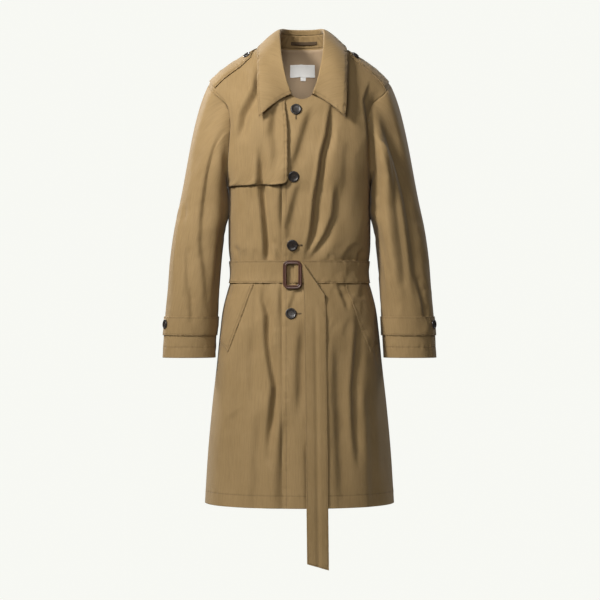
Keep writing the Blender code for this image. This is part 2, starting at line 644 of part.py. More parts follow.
def from_ridge(side, across, distance):
    """The up value of the place a distance below the shoulder seam, for each across."""
    steps = np.linspace(2, 1.2, 41)
    found = []
    for one, far in zip(across, distance):
        line = cloth(side, np.full(41, one), steps)
        run = np.concatenate([[0], np.cumsum(np.linalg.norm(np.diff(line, axis=0), axis=1))])
        found.append(np.interp(far, run, steps))
    return np.array(found)


def epaulette(name, hand, ahead, behind):
    """Strap over a shoulder, from the sleeve seam to its button by the collar; ahead gives
    its widths in front of the shoulder seam at those two ends, behind the one at its back."""
    along = np.linspace(*EPAULETTE_ALONG, 8)
    ahead = np.linspace(*ahead, 8)
    offsets = [-share * ahead for share in (1, 0.66, 0.33, 0)]
    offsets += [share * behind * np.ones(8) for share in (0.5, 1)]
    base, out = [], []
    for offset in offsets:
        side = -1 if offset[0] <= 0 else 1
        across = hand * along
        up = np.minimum(from_ridge(side, across, np.abs(offset)), 2)
        base.append(cloth(side, across, up))
        out.append(panel(side, across, up)[1])
    inner = np.array(base) + np.array(out) * lift_over(name)
    outer = inner + np.array(out) * TRIM
    wall(name, outer, inner, KHAKI)
    return outer


def lift_over(name):
    """The right epaulette lies on the storm flap as well as on the shoulder."""
    return GAP + 0.0003 + (TRIM + GAP if name.endswith("right") else 0)


def turned(name, radius, place, out, color=HORN):
    """A button: a dished disc with a rounded rim, turned about its axis."""
    profile = ((0.0, 0.0), (0.80, 0.0), (1.0, 0.35), (1.0, 0.70), (0.86, 1.0), (0.62, 0.86),
               (0.0, 0.72))
    height, sides = BUTTON_HEIGHT, BUTTON_SIDES
    out = np.array(out) / np.linalg.norm(out)
    flat = unit(np.cross(out, [0.0, 0.0, 1.0]))
    other = np.cross(out, flat)
    points, faces = [np.array(place)], []
    for share, rise in profile[1:-1]:
        for step in range(sides):
            angle = 2 * math.pi * step / sides
            points.append(place + radius * share * (flat * math.cos(angle)
                          + other * math.sin(angle)) + out * height * rise)
    points.append(place + out * height * profile[-1][1])
    rings = len(profile) - 2
    for step in range(sides):
        after = (step + 1) % sides
        faces.append((0, 1 + after, 1 + step))
        for row in range(rings - 1):
            low, high = 1 + row * sides, 1 + (row + 1) * sides
            faces.append((low + step, low + after, high + after, high + step))
        top = 1 + (rings - 1) * sides
        faces.append((top + step, top + after, len(points) - 1))
    return add(name, points, faces, color, 0.30)


def neck_stations():
    """Where the collar is sewn, from its right end round the back to its left end, at the
    panels' own neckline points: shares -1 to 1 (0 at centre back), sides and across."""
    top = np.array([2.0])
    front = across_grid(FRONT_LINES, top)[0]
    rear = across_grid(BACK_LINES, top)[0]
    near = front[(np.abs(front) > COLLAR_ENDS) & (np.abs(front) < NECK_SHARE - 0.001)]
    right, left = near[near < 0][::-1], near[near > 0][::-1]
    middle = rear[np.abs(rear) < NECK_SHARE + 0.001]
    across = np.concatenate([right, middle, left])
    side = np.concatenate([-np.ones(len(right)), np.ones(len(middle)), -np.ones(len(left))])
    last = np.where(across < 0, -right[0], left[-1])
    gone = (NECK_SHARE - np.abs(across)) / (NECK_SHARE - last)
    share = np.where(side > 0, np.abs(across) / NECK_SHARE * COLLAR_BACK,
                     COLLAR_BACK + gone * (1 - COLLAR_BACK))
    return share * np.sign(across), side, across


def neck_loop(side, across):
    """Outer and inner points of the neckline and the direction off the panel's edge."""
    found = [[grid[0] for grid in edge_at(int(one), np.array([where]), np.array([2.0]))]
             for one, where in zip(side, across)]
    outer, inner = [np.array(column) for column in zip(*found)]
    off = unit(np.cross(unit(np.gradient(outer, axis=0)), unit(outer - inner)))
    above = np.array([NECK_SHIFT, -0.02, 0.10])
    off *= np.sign(np.sum(off * (above - outer), axis=1, keepdims=True))
    return outer, inner, off


def collar_line(shares, which):
    """The collar's fold or outer edge at each share, -1 to 1."""
    rows = np.stack([COLLAR[f"{which}_{axis}"] for axis in "xyz"], -1)
    mirrored = rows[:0:-1] * np.array([-1, 1, 1])
    knots = np.concatenate([-COLLAR["share"][:0:-1], COLLAR["share"]])
    line = smooth(knots, np.vstack([mirrored, rows]), shares)
    return line + np.array([NECK_SHIFT, 0, 0])


def collar():
    """A stand on the neckline and a fall that rolls over it and lies on the shoulders."""
    shares, side, across = neck_stations()
    roll = COLLAR_ROLL
    foot, foot_in, off = neck_loop(side, across)
    fold, edge = collar_line(shares, "fold"), collar_line(shares, "edge")
    middle = (foot + foot_in) / 2
    ahead = unit(np.gradient(fold, axis=0))
    upright = ease(0.75, 1.0, np.abs(shares))[:, None] * np.array([0.0, -0.001, 0.014])
    rise = fold - middle + upright
    rise = rise - ahead * np.sum(rise * ahead, axis=1, keepdims=True)
    tall = np.linalg.norm(rise, axis=1, keepdims=True)
    rise = unit(rise)
    seam = fold - rise * np.maximum(tall * STAND_SHARE, roll + TRIM)
    away = unit(np.cross(ahead, rise))
    away *= np.sign(np.sum(away * (edge - fold), axis=1, keepdims=True))

    rows = [middle + off * GAP, middle * 0.55 + seam * 0.45, seam - rise * GAP]
    stand_out = np.array([away, away, away]) * TRIM / 2
    outer, inner = np.array(rows) + stand_out, np.array(rows) - stand_out
    outer[0], inner[0] = foot + off * GAP, foot_in + off * GAP
    wall("collar_stand", outer[:, 1:-1], inner[:, 1:-1], KHAKI)

    centre = fold - rise * roll + away * roll
    rows, normals = [seam, fold - rise * roll], [-away, -away]
    for angle in (50, 90, 130):
        turn = math.radians(angle)
        spoke = -away * math.cos(turn) + rise * math.sin(turn)
        rows.append(centre + spoke * roll)
        normals.append(spoke)
    start = rows[-1]
    span = np.linalg.norm(edge - start, axis=1, keepdims=True)
    leave = unit(away * math.sin(turn) - rise * 0.64)
    arrive = unit(edge - start + np.array([0, 0, -0.012]))
    for share in (0.16, 0.36, 0.58, 0.80, 1.0):
        rows.append(blend(start, leave * span * 0.9, edge, arrive * span, share))
    grid = np.array(rows)
    out = unit(np.cross(np.gradient(grid, axis=1), np.gradient(grid, axis=0)))
    out *= np.sign(np.sum(out[3] * rise)) or 1
    out[:5] = np.array(normals)
    wall("collar_fall", grid + out * TRIM / 2, grid - out * TRIM / 2, KHAKI)
    return inner[:, 1:-1]


def belt():
    """Belt of doubled cloth drawn round the waist, over the body's own columns."""
    rows = level(np.array([BELT_BOTTOM, (BELT_BOTTOM + BELT_TOP) / 2, BELT_TOP]))
    front = across_grid(FRONT_LINES, rows)
    rear = across_grid(BACK_LINES, rows)[:, 1:-1][:, ::-1]
    grids = []
    for side, across in ((-1, front), (1, rear)):
        up = np.repeat(rows[:, None], across.shape[1], axis=1)
        out = facing(bare, side, across, up)
        out[..., 2] = 0
        grids.append((bare(side, across, up), unit(out)))
    points = np.concatenate([grid[0] for grid in grids], axis=1)
    out = np.concatenate([grid[1] for grid in grids], axis=1)
    inner = points + out * (GAP + 0.0002)
    wall("belt", inner + out * TRIM, inner, KHAKI, around=True)
    return (inner + out * TRIM)[:, :front.shape[1]]


def buckle(grid):
    """Frame of leather over a stiff core. It stands off the belt by the tail under it."""
    half_x, half_z, corner = BUCKLE[0] / 2, BUCKLE[1] / 2, BUCKLE_CORNER
    bar, thick = BUCKLE_BAR / 2, BUCKLE_THICK / 2
    place, out = seat(grid, (BUCKLE_PLACE[0], BUCKLE_PLACE[1]), half_z)
    place = np.array([BUCKLE_PLACE[0], place[1], BUCKLE_PLACE[1]])
    out = unit(out * np.array([1, 1, 0]))
    right = np.array([-out[1], out[0], 0])
    centre = place + out * (TRIM + 2 * GAP + BUCKLE_OFF + thick)
    points = []
    for quarter, (sign_x, sign_z) in enumerate(((1, 1), (-1, 1), (-1, -1), (1, -1))):
        for step in range(5):
            angle = math.pi / 2 * (quarter + step / 4)
            ray = right * math.cos(angle) + np.array([0, 0, math.sin(angle)])
            hub = (right * sign_x * (half_x - bar - corner)
                   + np.array([0, 0, sign_z * (half_z - bar - corner)]))
            for around in range(BAR_SIDES):
                turn = around * 2 * math.pi / BAR_SIDES
                points.append(centre + hub + ray * (corner + bar * math.cos(turn))
                              + out * thick * math.sin(turn) * BAR_FULL)
    faces = []
    for step in range(20):
        for around in range(BAR_SIDES):
            here, there = step * BAR_SIDES, (step + 1) % 20 * BAR_SIDES
            after = (around + 1) % BAR_SIDES
            faces.append((here + around, here + after, there + after, there + around))
    add("buckle", points, faces, LEATHER, 0.40, sharp=80)


def belt_tail():
    """The belt's free end: out under the buckle's bar, folded over and hanging."""
    share = np.linspace(0, 1, 5)
    fold = TAIL_FOLD[0] + (TAIL_FOLD[1] - TAIL_FOLD[0]) * share[:, None]
    along = (TAIL_FOLD[1] - TAIL_FOLD[0]) / np.linalg.norm(TAIL_FOLD[1] - TAIL_FOLD[0])
    beyond = np.array([-along[1], 0, along[0]])
    half = TRIM / 2

    def resting(x, z):
        """A place whose cloth lies on the belt, or on the skirt below it."""
        belt_out = front_y(x, np.full_like(x, BELT_BOTTOM)) - GAP - 0.0002 - TRIM
        nearest = np.minimum(belt_out, front_y(x, z - 0.004))
        return np.stack([x, nearest - GAP - 0.0004 - half, z], -1)

    rows, normals = [], []
    for way in (0.0, 0.4, 0.75, 1.0):
        x = TAIL_START + (fold[:, 0] - TAIL_START) * way
        z = BELT_TOP - 0.0002 - TAIL_WIDTH * share
        z = z + (fold[:, 1] - z) * ease(0.4, 1.0, way)
        rows.append(resting(x, z))
        normals.append(np.tile([0.0, 1.0, 0.0], (5, 1)))
    flat = min(row[:, 1].min() for row in rows)
    for row, share_flat in zip(rows, (0.3, 1, 1, 1)):
        row[:, 1] += (flat - row[:, 1]) * share_flat
    turn_at = rows[-1] - beyond * TAIL_TURN - np.array([0, TAIL_TURN, 0])
    rows[-1] = turn_at + np.array([0, TAIL_TURN, 0])
    for angle in (-45, 0, 45, 90):
        spoke = (beyond * math.cos(math.radians(angle))
                 - np.array([0, math.sin(math.radians(angle)), 0]))
        rows.append(turn_at + spoke * TAIL_TURN)
        normals.append(np.tile(spoke, (5, 1)))
    begin = rows[-1]
    for level_z in TAIL_ROWS:
        way = ease(0.0, 1.0, (begin[:, 2] - level_z) / TAIL_DROP)
        z = level_z + 0 * share if level_z > TAIL_END else TAIL_END - TAIL_SLANT * share
        z = np.minimum(z, begin[:, 2] - (0.012 if level_z > -0.6 else 0.03))
        left = np.interp(-z, TAIL_LEFT[0], TAIL_LEFT[1])
        right = np.interp(-z, TAIL_RIGHT[0], TAIL_RIGHT[1])
        x = left + (right - left) * share
        hang = front_y(x, np.maximum(z, HEM)) - TAIL_OFF
        rows.append(np.stack([x, begin[:, 1] + (np.minimum(hang, begin[:, 1]) - begin[:, 1])
                              * way, z], -1))
        normals.append(np.tile([0.0, -1.0, 0.0], (5, 1)))
    grid, given = np.array(rows), np.array(normals)
    out = unit(np.cross(np.gradient(grid, axis=1), np.gradient(grid, axis=0)))
    out *= np.sign(np.sum(out * given, axis=-1, keepdims=True))
    out[4:8] = given[4:8]
    wall("belt_tail", grid + out * half, grid - out * half, KHAKI)


def pocket_welt(name, hand):
    """Slanted band over a pocket's opening, its lower end cut on a slope."""
    down, over = np.linspace(0, 1, 9)[:, None, None], np.linspace(0, 1, 5)[None, :, None]
    corners = np.array(WELT)
    inner = corners[0] + (corners[1] - corners[0]) * down
    outer = corners[3] + (corners[2] - corners[3]) * down
    place = inner + (outer - inner) * over
    across = hand * across_at(-1, place[..., 0], place[..., 1])
    overlay(name, -1, across, level(place[..., 1]), GAP + WELT_OFF)


def back_neck_lining():
    """What shows of the lining inside the back of the neck, on the back's own lines."""
    rows = BODY_ROWS[BODY_ROWS > 1.001]
    across = across_grid(BACK_LINES, rows)[:, 4:-4]
    up = np.repeat(rows[:, None], across.shape[1], axis=1)
    base, out = panel(1, across, up)
    base[-1] += (base[-2] - base[-1]) * LINING_TOP
    outer = base - out * (WALL + GAP)
    wall("back_neck_lining", outer, outer - out * LINING_WALL, LINING)


def on_lining(name, left, right, top, bottom, columns, color):
    """A flat woven piece sewn on the lining."""
    places = [[find(1, x, z) for x in np.linspace(left, right, columns)]
              for z in np.linspace(bottom, top, 3)]
    across, up = np.moveaxis(np.array(places), -1, 0)
    behind = WALL + GAP + LINING_WALL + GAP + LABEL_WALL + LABEL_OFF
    overlay(name, 1, across, up, -behind, LABEL_WALL, color)


def hanger_loop(stand):
    """Tape sewn by its ends inside the stand, at the back of the neck."""
    rear = stand[:, stand[0, :, 1] > 0.02]
    x = np.linspace(*TAPE_SPAN, 9)
    rows = []
    for z in TAPE_HEIGHTS:
        found = []
        for one in x:
            ys = [np.interp(one, row[:, 0], row[:, 1]) for row in rear]
            zs = [np.interp(one, row[:, 0], row[:, 2]) for row in rear]
            found.append((one, np.interp(z, zs, ys), z))
        rows.append(found)
    base = np.array(rows)
    slope_x = np.gradient(base[..., 1], x, axis=1)
    slope_z = (base[1, :, 1] - base[0, :, 1]) / (base[1, :, 2] - base[0, :, 2])
    inward = unit(np.stack([slope_x, -np.ones_like(slope_x), slope_z + 0 * slope_x], -1))
    bow = GAP + TAPE_BOW * np.sin(np.linspace(0, math.pi, 9)) ** 0.7
    near = base + inward * bow[None, :, None]
    wall("hanger_loop", near + inward * TAPE_WALL, near, TAPE)


for leftover in list(bpy.data.objects):
    bpy.data.objects.remove(leftover)

body_piece("front_right", -1, FRONT_LINES[:3] + [(FRONT_LINES[3][0], 0)], underlap)
front = body_piece("front_left", -1, FRONT_LINES[2:])
body_piece("back", 1, BACK_LINES)
sleeve("sleeve_right", -1)
sleeve("sleeve_left", 1)
storm_flap()
waist = belt()
belt_tail()
buckle(waist)
stand = collar()
hanger_loop(stand)
back_neck_lining()
on_lining("label", *LABEL_EDGES, 7, LABEL)
on_lining("label_tab", *TAB_EDGES, 2, LABEL)
for index, x in enumerate(BUTTON_X):
    place = seat(front, (x, BUTTON_FIRST + BUTTON_STEP * index), FRONT_RADIUS)
    turned(f"front_button_{index + 1}", FRONT_RADIUS, *place)
for hand, word, (ahead, behind), spot in ((-1, "right", (RIGHT_AHEAD, 0.004), EPAULETTE_BUTTONS[0]),
                                          (1, "left", (LEFT_AHEAD, 0.010), EPAULETTE_BUTTONS[1])):
    strap = epaulette(f"epaulette_{word}", hand, ahead, behind)
    turned(f"epaulette_button_{word}", SMALL_RADIUS, *seat(strap, spot, SMALL_RADIUS))
    strap = cuff_strap(f"cuff_strap_{word}", hand)
    spot = (hand * CUFF_BUTTON[0], CUFF_BUTTON[1])
    turned(f"cuff_button_{word}", CUFF_RADIUS, *seat(strap, spot, CUFF_RADIUS))
    pocket_welt(f"pocket_welt_{word}", hand)
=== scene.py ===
import math

import bpy
import numpy as np
from mathutils import Matrix, Vector


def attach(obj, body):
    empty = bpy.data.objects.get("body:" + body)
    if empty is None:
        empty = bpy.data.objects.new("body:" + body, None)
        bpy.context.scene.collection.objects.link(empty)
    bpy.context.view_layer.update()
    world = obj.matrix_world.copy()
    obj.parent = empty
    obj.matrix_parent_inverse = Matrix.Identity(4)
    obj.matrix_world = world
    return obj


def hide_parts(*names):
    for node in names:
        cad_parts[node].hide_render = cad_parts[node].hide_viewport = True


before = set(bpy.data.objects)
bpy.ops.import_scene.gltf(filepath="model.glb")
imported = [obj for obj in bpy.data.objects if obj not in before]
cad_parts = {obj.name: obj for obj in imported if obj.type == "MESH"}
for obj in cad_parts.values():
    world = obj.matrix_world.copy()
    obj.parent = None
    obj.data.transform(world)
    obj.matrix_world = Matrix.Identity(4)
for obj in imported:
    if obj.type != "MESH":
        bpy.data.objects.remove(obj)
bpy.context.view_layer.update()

# ---- The camera, the light and the floor --------------------------------------------
# The coat is filled out as if worn and is seen squarely from the front. The main lamp
# stands at its right, weaker ones in front, behind and at its left, and a narrow one lights
# the neck. A pale floor lies clear under it, inside a pale shell that lights nothing.
EYE = (0.0012, -5.0, -0.588)
LENS, SENSOR = 125.0, 36.0
AIM = (0.0, 0.0, -0.20)
WARM, NEUTRAL = (1.0, 0.985, 0.955), (1.0, 0.99, 0.97)
# Each soft lamp's place, width, watts, tint and beam in degrees.
LAMPS = {
    "main_lamp": ((-1.75, -1.75, 1.2), 0.65, 38, WARM, 110),
    "front_lamp": ((-0.4, -2.9, 0.8), 0.9, 30, NEUTRAL, 180),
    "back_lamp": ((-1.9, 2.1, 1.3), 0.8, 95, NEUTRAL, 180),
    "side_lamp": ((2.0, 1.9, 0.9), 0.8, 24, NEUTRAL, 180),
}
NECK_LAMP, NECK_AIM = (0.10, -2.5, 0.55), (0.005, 0.03, -0.045)
NECK_WATTS, NECK_BEAM, NECK_BULB = 215, 2.6, 0.05
DAYLIGHT = 0.09
FLOOR_HEIGHT, FLOOR_RADIUS, SHELL_RADIUS = -1.45, 0.88, 9.0
FLOOR_TONE, FLOOR_GLOW = (0.40, 0.40, 0.385), 0.42
PALE = (0.932, 0.939, 0.896)

camera = bpy.data.objects.new("camera", bpy.data.cameras.new("camera"))
camera.data.lens, camera.data.sensor_width = LENS, SENSOR
camera.location = EYE
camera.rotation_euler = (math.pi / 2, 0, 0)
bpy.context.scene.collection.objects.link(camera)
bpy.context.scene.camera = camera
bpy.context.scene.view_settings.view_transform = "Standard"


def stand(light, place, aim):
    """Puts a lamp at its place and turns it to what it lights."""
    lamp = bpy.data.objects.new(light.name, light)
    lamp.location = place
    lamp.rotation_euler = (Vector(aim) - Vector(place)).to_track_quat("-Z", "Y").to_euler()
    lamp.visible_camera = False
    bpy.context.scene.collection.objects.link(lamp)


for name, (place, size, watts, tint, beam) in LAMPS.items():
    disk = bpy.data.lights.new(name, "AREA")
    disk.shape = "DISK"
    disk.size, disk.energy, disk.color = size, watts, tint
    disk.spread = math.radians(beam)
    stand(disk, place, AIM)

narrow = bpy.data.lights.new("neck_lamp", "SPOT")
narrow.energy, narrow.shadow_soft_size = NECK_WATTS, NECK_BULB
narrow.spot_size, narrow.spot_blend = math.radians(NECK_BEAM), 0.6
stand(narrow, NECK_LAMP, NECK_AIM)

world = bpy.data.worlds.new("studio")
world.use_nodes = True
sky = world.node_tree.nodes["Background"]
sky.inputs["Color"].default_value = (*NEUTRAL, 1)
sky.inputs["Strength"].default_value = DAYLIGHT
bpy.context.scene.world = world


def shade(name, roughness):
    """A new node material, its tree and its shader."""
    made = bpy.data.materials.new(name)
    made.use_nodes = True
    shader = made.node_tree.nodes["Principled BSDF"]
    shader.inputs["Roughness"].default_value = roughness
    return made, made.node_tree, shader


def connect(tree, made, inputs):
    """Gives each named socket of a node a value or another node's output."""
    for key, value in inputs.items():
        if isinstance(value, bpy.types.NodeSocket):
            tree.links.new(value, made.inputs[key])
        else:
            made.inputs[key].default_value = value


def node(tree, kind, inputs, out=0, **settings):
    """The output of a new shader node."""
    made = tree.nodes.new("ShaderNode" + kind)
    for key, value in settings.items():
        setattr(made, key, value)
    connect(tree, made, inputs)
    return made.outputs[out]


def mixed(tree, share, first, second):
    """Two colours, or outputs of colour, mixed by another node's output."""
    first, second = [(*one, 1) if isinstance(one, tuple) else one for one in (first, second)]
    return node(tree, "Mix", {0: share, 6: first, 7: second}, 2, data_type="RGBA")


def ranged(tree, share, low=0.0, high=1.0, start=0.0, end=1.0):
    """Another node's output between start and end, spread from low to high."""
    return node(tree, "MapRange", {0: share, 1: start, 2: end, 3: low, 4: high})


def bumped(tree, strength, distance, height, under=None):
    """Relief from another node's output, on the relief under it."""
    sockets = {"Strength": strength, "Distance": distance, "Height": height}
    return node(tree, "Bump", sockets if under is None else {**sockets, "Normal": under})


def darker(tone, share):
    """A darker colour of the same hue."""
    return tuple(one * share for one in tone)


def staged(name, tone, glow):
    """The finish of the floor and the shell: pale paint with an even glow."""
    made, tree, shader = shade(name, 0.9)
    grain = node(tree, "TexNoise", {"Scale": 3.0, "Detail": 2.0})
    connect(tree, shader, {"Base Color": mixed(tree, grain, tone, darker(tone, 0.99)),
                           "Emission Color": (*PALE, 1), "Emission Strength": glow})
    return made


bpy.ops.mesh.primitive_circle_add(vertices=128, radius=FLOOR_RADIUS, fill_type="NGON",
                                  location=(0, 0, FLOOR_HEIGHT))
floor = bpy.context.object
floor.name = "floor"
floor.data.materials.append(staged("floor_paint", FLOOR_TONE, FLOOR_GLOW))
bpy.ops.mesh.primitive_uv_sphere_add(segments=48, ring_count=24, radius=SHELL_RADIUS)
shell = bpy.context.object
shell.name = "shell"
shell.data.materials.append(staged("shell_paint", (0.0, 0.0, 0.0), 1.0))
shell.visible_diffuse = shell.visible_glossy = shell.visible_shadow = False
shell.visible_transmission = False

# ---- The back -----------------------------------------------------------------------
# One panel of closely woven cotton gabardine from shoulder to hem, cut with the fronts to
# the same level rings. Its folds fall from the shoulder blades and from under the belt,
# and its hem is turned up and stitched by machine.
WALL = 0.0018            # body cloth with its turnings
TRIM = 0.0016            # doubled cloth of straps, belt, welts and collar
GAP = 0.0004             # between pieces sewn together or lying on each other
STEP = 0.0040            # about how far apart the points of the cloth are
HEM, HEM_TURN = -1.0720, 0.0290   # the height of the hem, and its stitches' height above it
UNDERARM, CHEST = -0.3180, -0.1900
BELT_TOP, BELT_BOTTOM = -0.4955, -0.5475
NECK_SHIFT, NECK_HALF, NECK_SHARE = 0.0060, 0.0720, 0.5
NECK_FRONT, NECK_BACK, NECK_SIDE = (-0.1180, -0.1170), (0.0780, 0.0240), (0.0080, 0.0260)
NECK_SWEEP, NECK_HUMP = 0.55, 0.0160
HUMP_WAY = np.array([0, -0.75, 0.66])
NECK_LEAN, SHOULDER_LEAN, LEAN_RISE = 0.25, 0.55, 0.25   # of the cloth where it is sewn in
YOKE_LEAVE = 1.1         # how long the yoke keeps the chest's direction
TINY = 0.004             # a small step over the body, from which a direction is read
SHOULDER_BEND = (0.1780, 0.0040, -0.0180)
SHOULDER_TIP = (0.2190, 0.0000, -0.0740)
YOKE_ROWS = 44
ARMHOLE_DIP = 0.0075     # how far the cloth sinks where a sleeve is sewn on


def table(names, rows):
    """The columns of a short table as arrays, by name."""
    return dict(zip(names.split(), np.array(rows, float).T))


# Half of each level ring of the body, and the angles from centre front or back at which
# a panel stops: at the side seam, then at the armhole.
TORSO = table("height half_width front_depth back_depth squareness front_end back_end", (
    (-1.0720, 0.2268, 0.1720, 0.1660, 2.15, 90, 90),
    (-0.9480, 0.2190, 0.1640, 0.1590, 2.15, 90, 90),
    (-0.8400, 0.2090, 0.1560, 0.1510, 2.20, 90, 90),
    (-0.7368, 0.1975, 0.1480, 0.1430, 2.25, 90, 90),
    (-0.6600, 0.1900, 0.1400, 0.1350, 2.30, 90, 90),
    (-0.6100, 0.1835, 0.1320, 0.1260, 2.30, 90, 90),
    (-0.5640, 0.1720, 0.1230, 0.1140, 2.30, 90, 90),
    (-0.5450, 0.1665, 0.1190, 0.1080, 2.30, 90, 90),
    (-0.4950, 0.1665, 0.1190, 0.1080, 2.30, 90, 90),
    (-0.4750, 0.1690, 0.1230, 0.1120, 2.30, 90, 90),
    (-0.4100, 0.1705, 0.1300, 0.1180, 2.35, 90, 90),
    (-0.3180, 0.1715, 0.1370, 0.1240, 2.40, 90, 90),
    (-0.3080, 0.1730, 0.1375, 0.1245, 2.40, 80, 80),
    (-0.2920, 0.1775, 0.1380, 0.1250, 2.40, 72, 73),
    (-0.2600, 0.1850, 0.1385, 0.1255, 2.40, 66, 67),
    (-0.2200, 0.1890, 0.1370, 0.1240, 2.40, 63, 63),
    (-0.1900, 0.1905, 0.1340, 0.1210, 2.40, 62, 61),
))
# The armhole above the chest, front and back, between the chest and the shoulder tip.
ARMHOLE = {
    -1: table("share x y z", (
        (0.30, 0.1715, -0.0690, -0.1480),
        (0.55, 0.1810, -0.0570, -0.1180),
        (0.80, 0.2070, -0.0370, -0.0920))),
    1: table("share x y z", (
        (0.30, 0.1745, 0.0660, -0.1440),
        (0.60, 0.1900, 0.0520, -0.1060),
        (0.82, 0.2080, 0.0300, -0.0860))),
}
# Folds of the back. Each has its half width, its depth and the places that it runs
# through, as x and z; a negative depth is a ridge.
BACK_FOLDS = (
    (0.0120, 0.0105, (-0.040, -0.270), (-0.054, -0.380), (-0.064, -0.520)),
    (0.0064, 0.0053, (-0.070, -0.400), (-0.062, -0.450), (-0.052, -0.520)),
    (0.0112, 0.0096, (0.038, -0.250), (0.050, -0.370), (0.060, -0.520)),
    (0.0104, 0.0070, (0.006, -0.340), (0.002, -0.440), (-0.004, -0.520)),
    (0.0136, 0.0088, (-0.118, -0.200), (-0.106, -0.340), (-0.098, -0.520)),
    (0.0144, 0.0088, (0.118, -0.210), (0.108, -0.360), (0.103, -0.520)),
    (0.0048, 0.0046, (-0.136, -0.440), (-0.130, -0.515)),
    (0.0040, 0.0042, (0.034, -0.452), (0.030, -0.515)),
    (0.0040, 0.0042, (-0.024, -0.462), (-0.030, -0.515)),
    (0.0048, 0.0046, (0.139, -0.450), (0.133, -0.515)),
    (0.0144, 0.0105, (-0.056, -0.530), (-0.066, -0.690), (-0.080, -0.900)),
    (0.0152, 0.0105, (0.050, -0.530), (0.060, -0.700), (0.078, -0.940)),
    (0.0104, 0.0070, (-0.006, -0.540), (-0.002, -0.760)),
    (0.0056, 0.0046, (0.022, -0.540), (0.031, -0.610)),
    (0.0056, 0.0046, (-0.094, -0.540), (-0.108, -0.620)),
    (0.0192, 0.0105, (-0.126, -0.580), (-0.140, -0.800), (-0.152, -1.110)),
    (0.0184, 0.0105, (0.124, -0.590), (0.134, -0.800), (0.148, -1.110)),
    (0.0208, 0.0088, (0.012, -0.780), (0.020, -1.110)),
    (0.0176, -0.0053, (-0.040, -0.820), (-0.046, -1.110)),
    (0.0176, -0.0053, (0.062, -0.930), (0.070, -1.110)),
)
SHOULDER_COLUMNS, NECK_COLUMNS = 32, 60


def smooth(knots, values, at):
    """A smooth curve through values at the knots, read at the places asked for."""
    values = np.asarray(values, float)
    at = np.clip(at, knots[0], knots[-1])
    low = np.clip(np.searchsorted(knots, at, side="right") - 1, 0, len(knots) - 2)
    step = knots[low + 1] - knots[low]
    slopes = np.gradient(values, knots, axis=0)
    share = (at - knots[low]) / step
    if values.ndim > 1:
        share, step = share[..., None], step[..., None]
    return blend(values[low], slopes[low] * step, values[low + 1], slopes[low + 1] * step, share)


def blend(start, leave, end, arrive, share):
    """Cubic from start to end that leaves and arrives along the given vectors."""
    two, three = share ** 2, share ** 3
    return ((2 * three - 3 * two + 1) * start + (three - 2 * two + share) * leave
            + (3 * two - 2 * three) * end + (three - two) * arrive)


def ease(low, high, at):
    """0 below low, 1 above high, smooth between."""
    share = np.clip((at - low) / (high - low), 0.0, 1.0)
    return share * share * (3 - 2 * share)


def unit(vectors):
    """The same directions, one long."""
    return vectors / np.maximum(np.linalg.norm(vectors, axis=-1, keepdims=True), 1e-12)


def ring(side, across, height):
    """Point of a level ring of the body; side is -1 for the front and 1 for the back."""
    half = smooth(TORSO["height"], TORSO["half_width"], height)
    deep = smooth(TORSO["height"], TORSO["front_depth" if side < 0 else "back_depth"], height)
    power = smooth(TORSO["height"], TORSO["squareness"], height)
    end = smooth(TORSO["height"], TORSO["front_end" if side < 0 else "back_end"], height)
    sine = np.sin(across * np.radians(np.minimum(end, 90)))
    bulge = np.maximum(1 - np.abs(sine) ** power, 0) ** (1 / power)
    return np.stack([half * sine, side * deep * bulge, height + 0 * sine], -1)


def top_edge(side, across):
    """Neckline and shoulder seam of a panel, and the direction its cloth arrives in."""
    reach = np.abs(across)
    turn = np.minimum(reach / NECK_SHARE, 1) * math.pi / 2
    rise = 1 - np.cos(turn)
    middle = NECK_FRONT if side < 0 else NECK_BACK
    neck = np.stack([NECK_HALF * np.sin(turn),
                     middle[0] + (NECK_SIDE[0] - middle[0]) * rise,
                     middle[1] + (NECK_SIDE[1] - middle[1]) * rise], -1)
    if side < 0:
        neck = neck + (NECK_HUMP * 4 * rise * (1 - rise))[..., None] * HUMP_WAY
    share = np.clip((reach - NECK_SHARE) / (1 - NECK_SHARE), 0, 1)[..., None]
    root = np.array([NECK_HALF, *NECK_SIDE])
    seam = ((1 - share) ** 2 * root + 2 * share * (1 - share) * np.array(SHOULDER_BEND)
            + share ** 2 * np.array(SHOULDER_TIP))
    edge = np.where((reach <= NECK_SHARE)[..., None], neck, seam)
    edge[..., 0] = np.sign(across) * edge[..., 0] + NECK_SHIFT * (1 - share[..., 0])
    lean = NECK_LEAN * np.cos(turn) + SHOULDER_LEAN * np.sin(turn)
    sweep = NECK_SWEEP * np.sin(turn) * (1 - ease(NECK_SHARE, NECK_SHARE + 0.25, reach))
    arrive = np.stack([-np.sign(across) * sweep * (side < 0), -side * lean,
                       np.cos(turn) + LEAN_RISE * np.sin(2 * turn)], -1)
    return edge, arrive


def armhole(side, share):
    """Armhole edge of the wearer's left half, from the chest line up to the tip."""
    rows = ARMHOLE[side]
    knots = np.concatenate([[0], rows["share"], [1]])
    inner = np.stack([rows["x"], rows["y"], rows["z"]], -1)
    points = np.vstack([ring(side, np.array(1.0), np.array(CHEST)), inner, SHOULDER_TIP])
    return smooth(knots, points, share)


def yoke(side, across, share):
    """The cloth from the chest line, share 0, to the top edge, as if it had no armhole."""
    start = ring(side, across, np.full(across.shape, CHEST))
    leave = unit(start - ring(side, across, np.full(across.shape, CHEST - TINY)))
    top, arrive = top_edge(side, across)
    length = np.linalg.norm(top - start, axis=-1, keepdims=True)
    return blend(start, leave * length * YOKE_LEAVE, top, arrive * length, share[..., None])


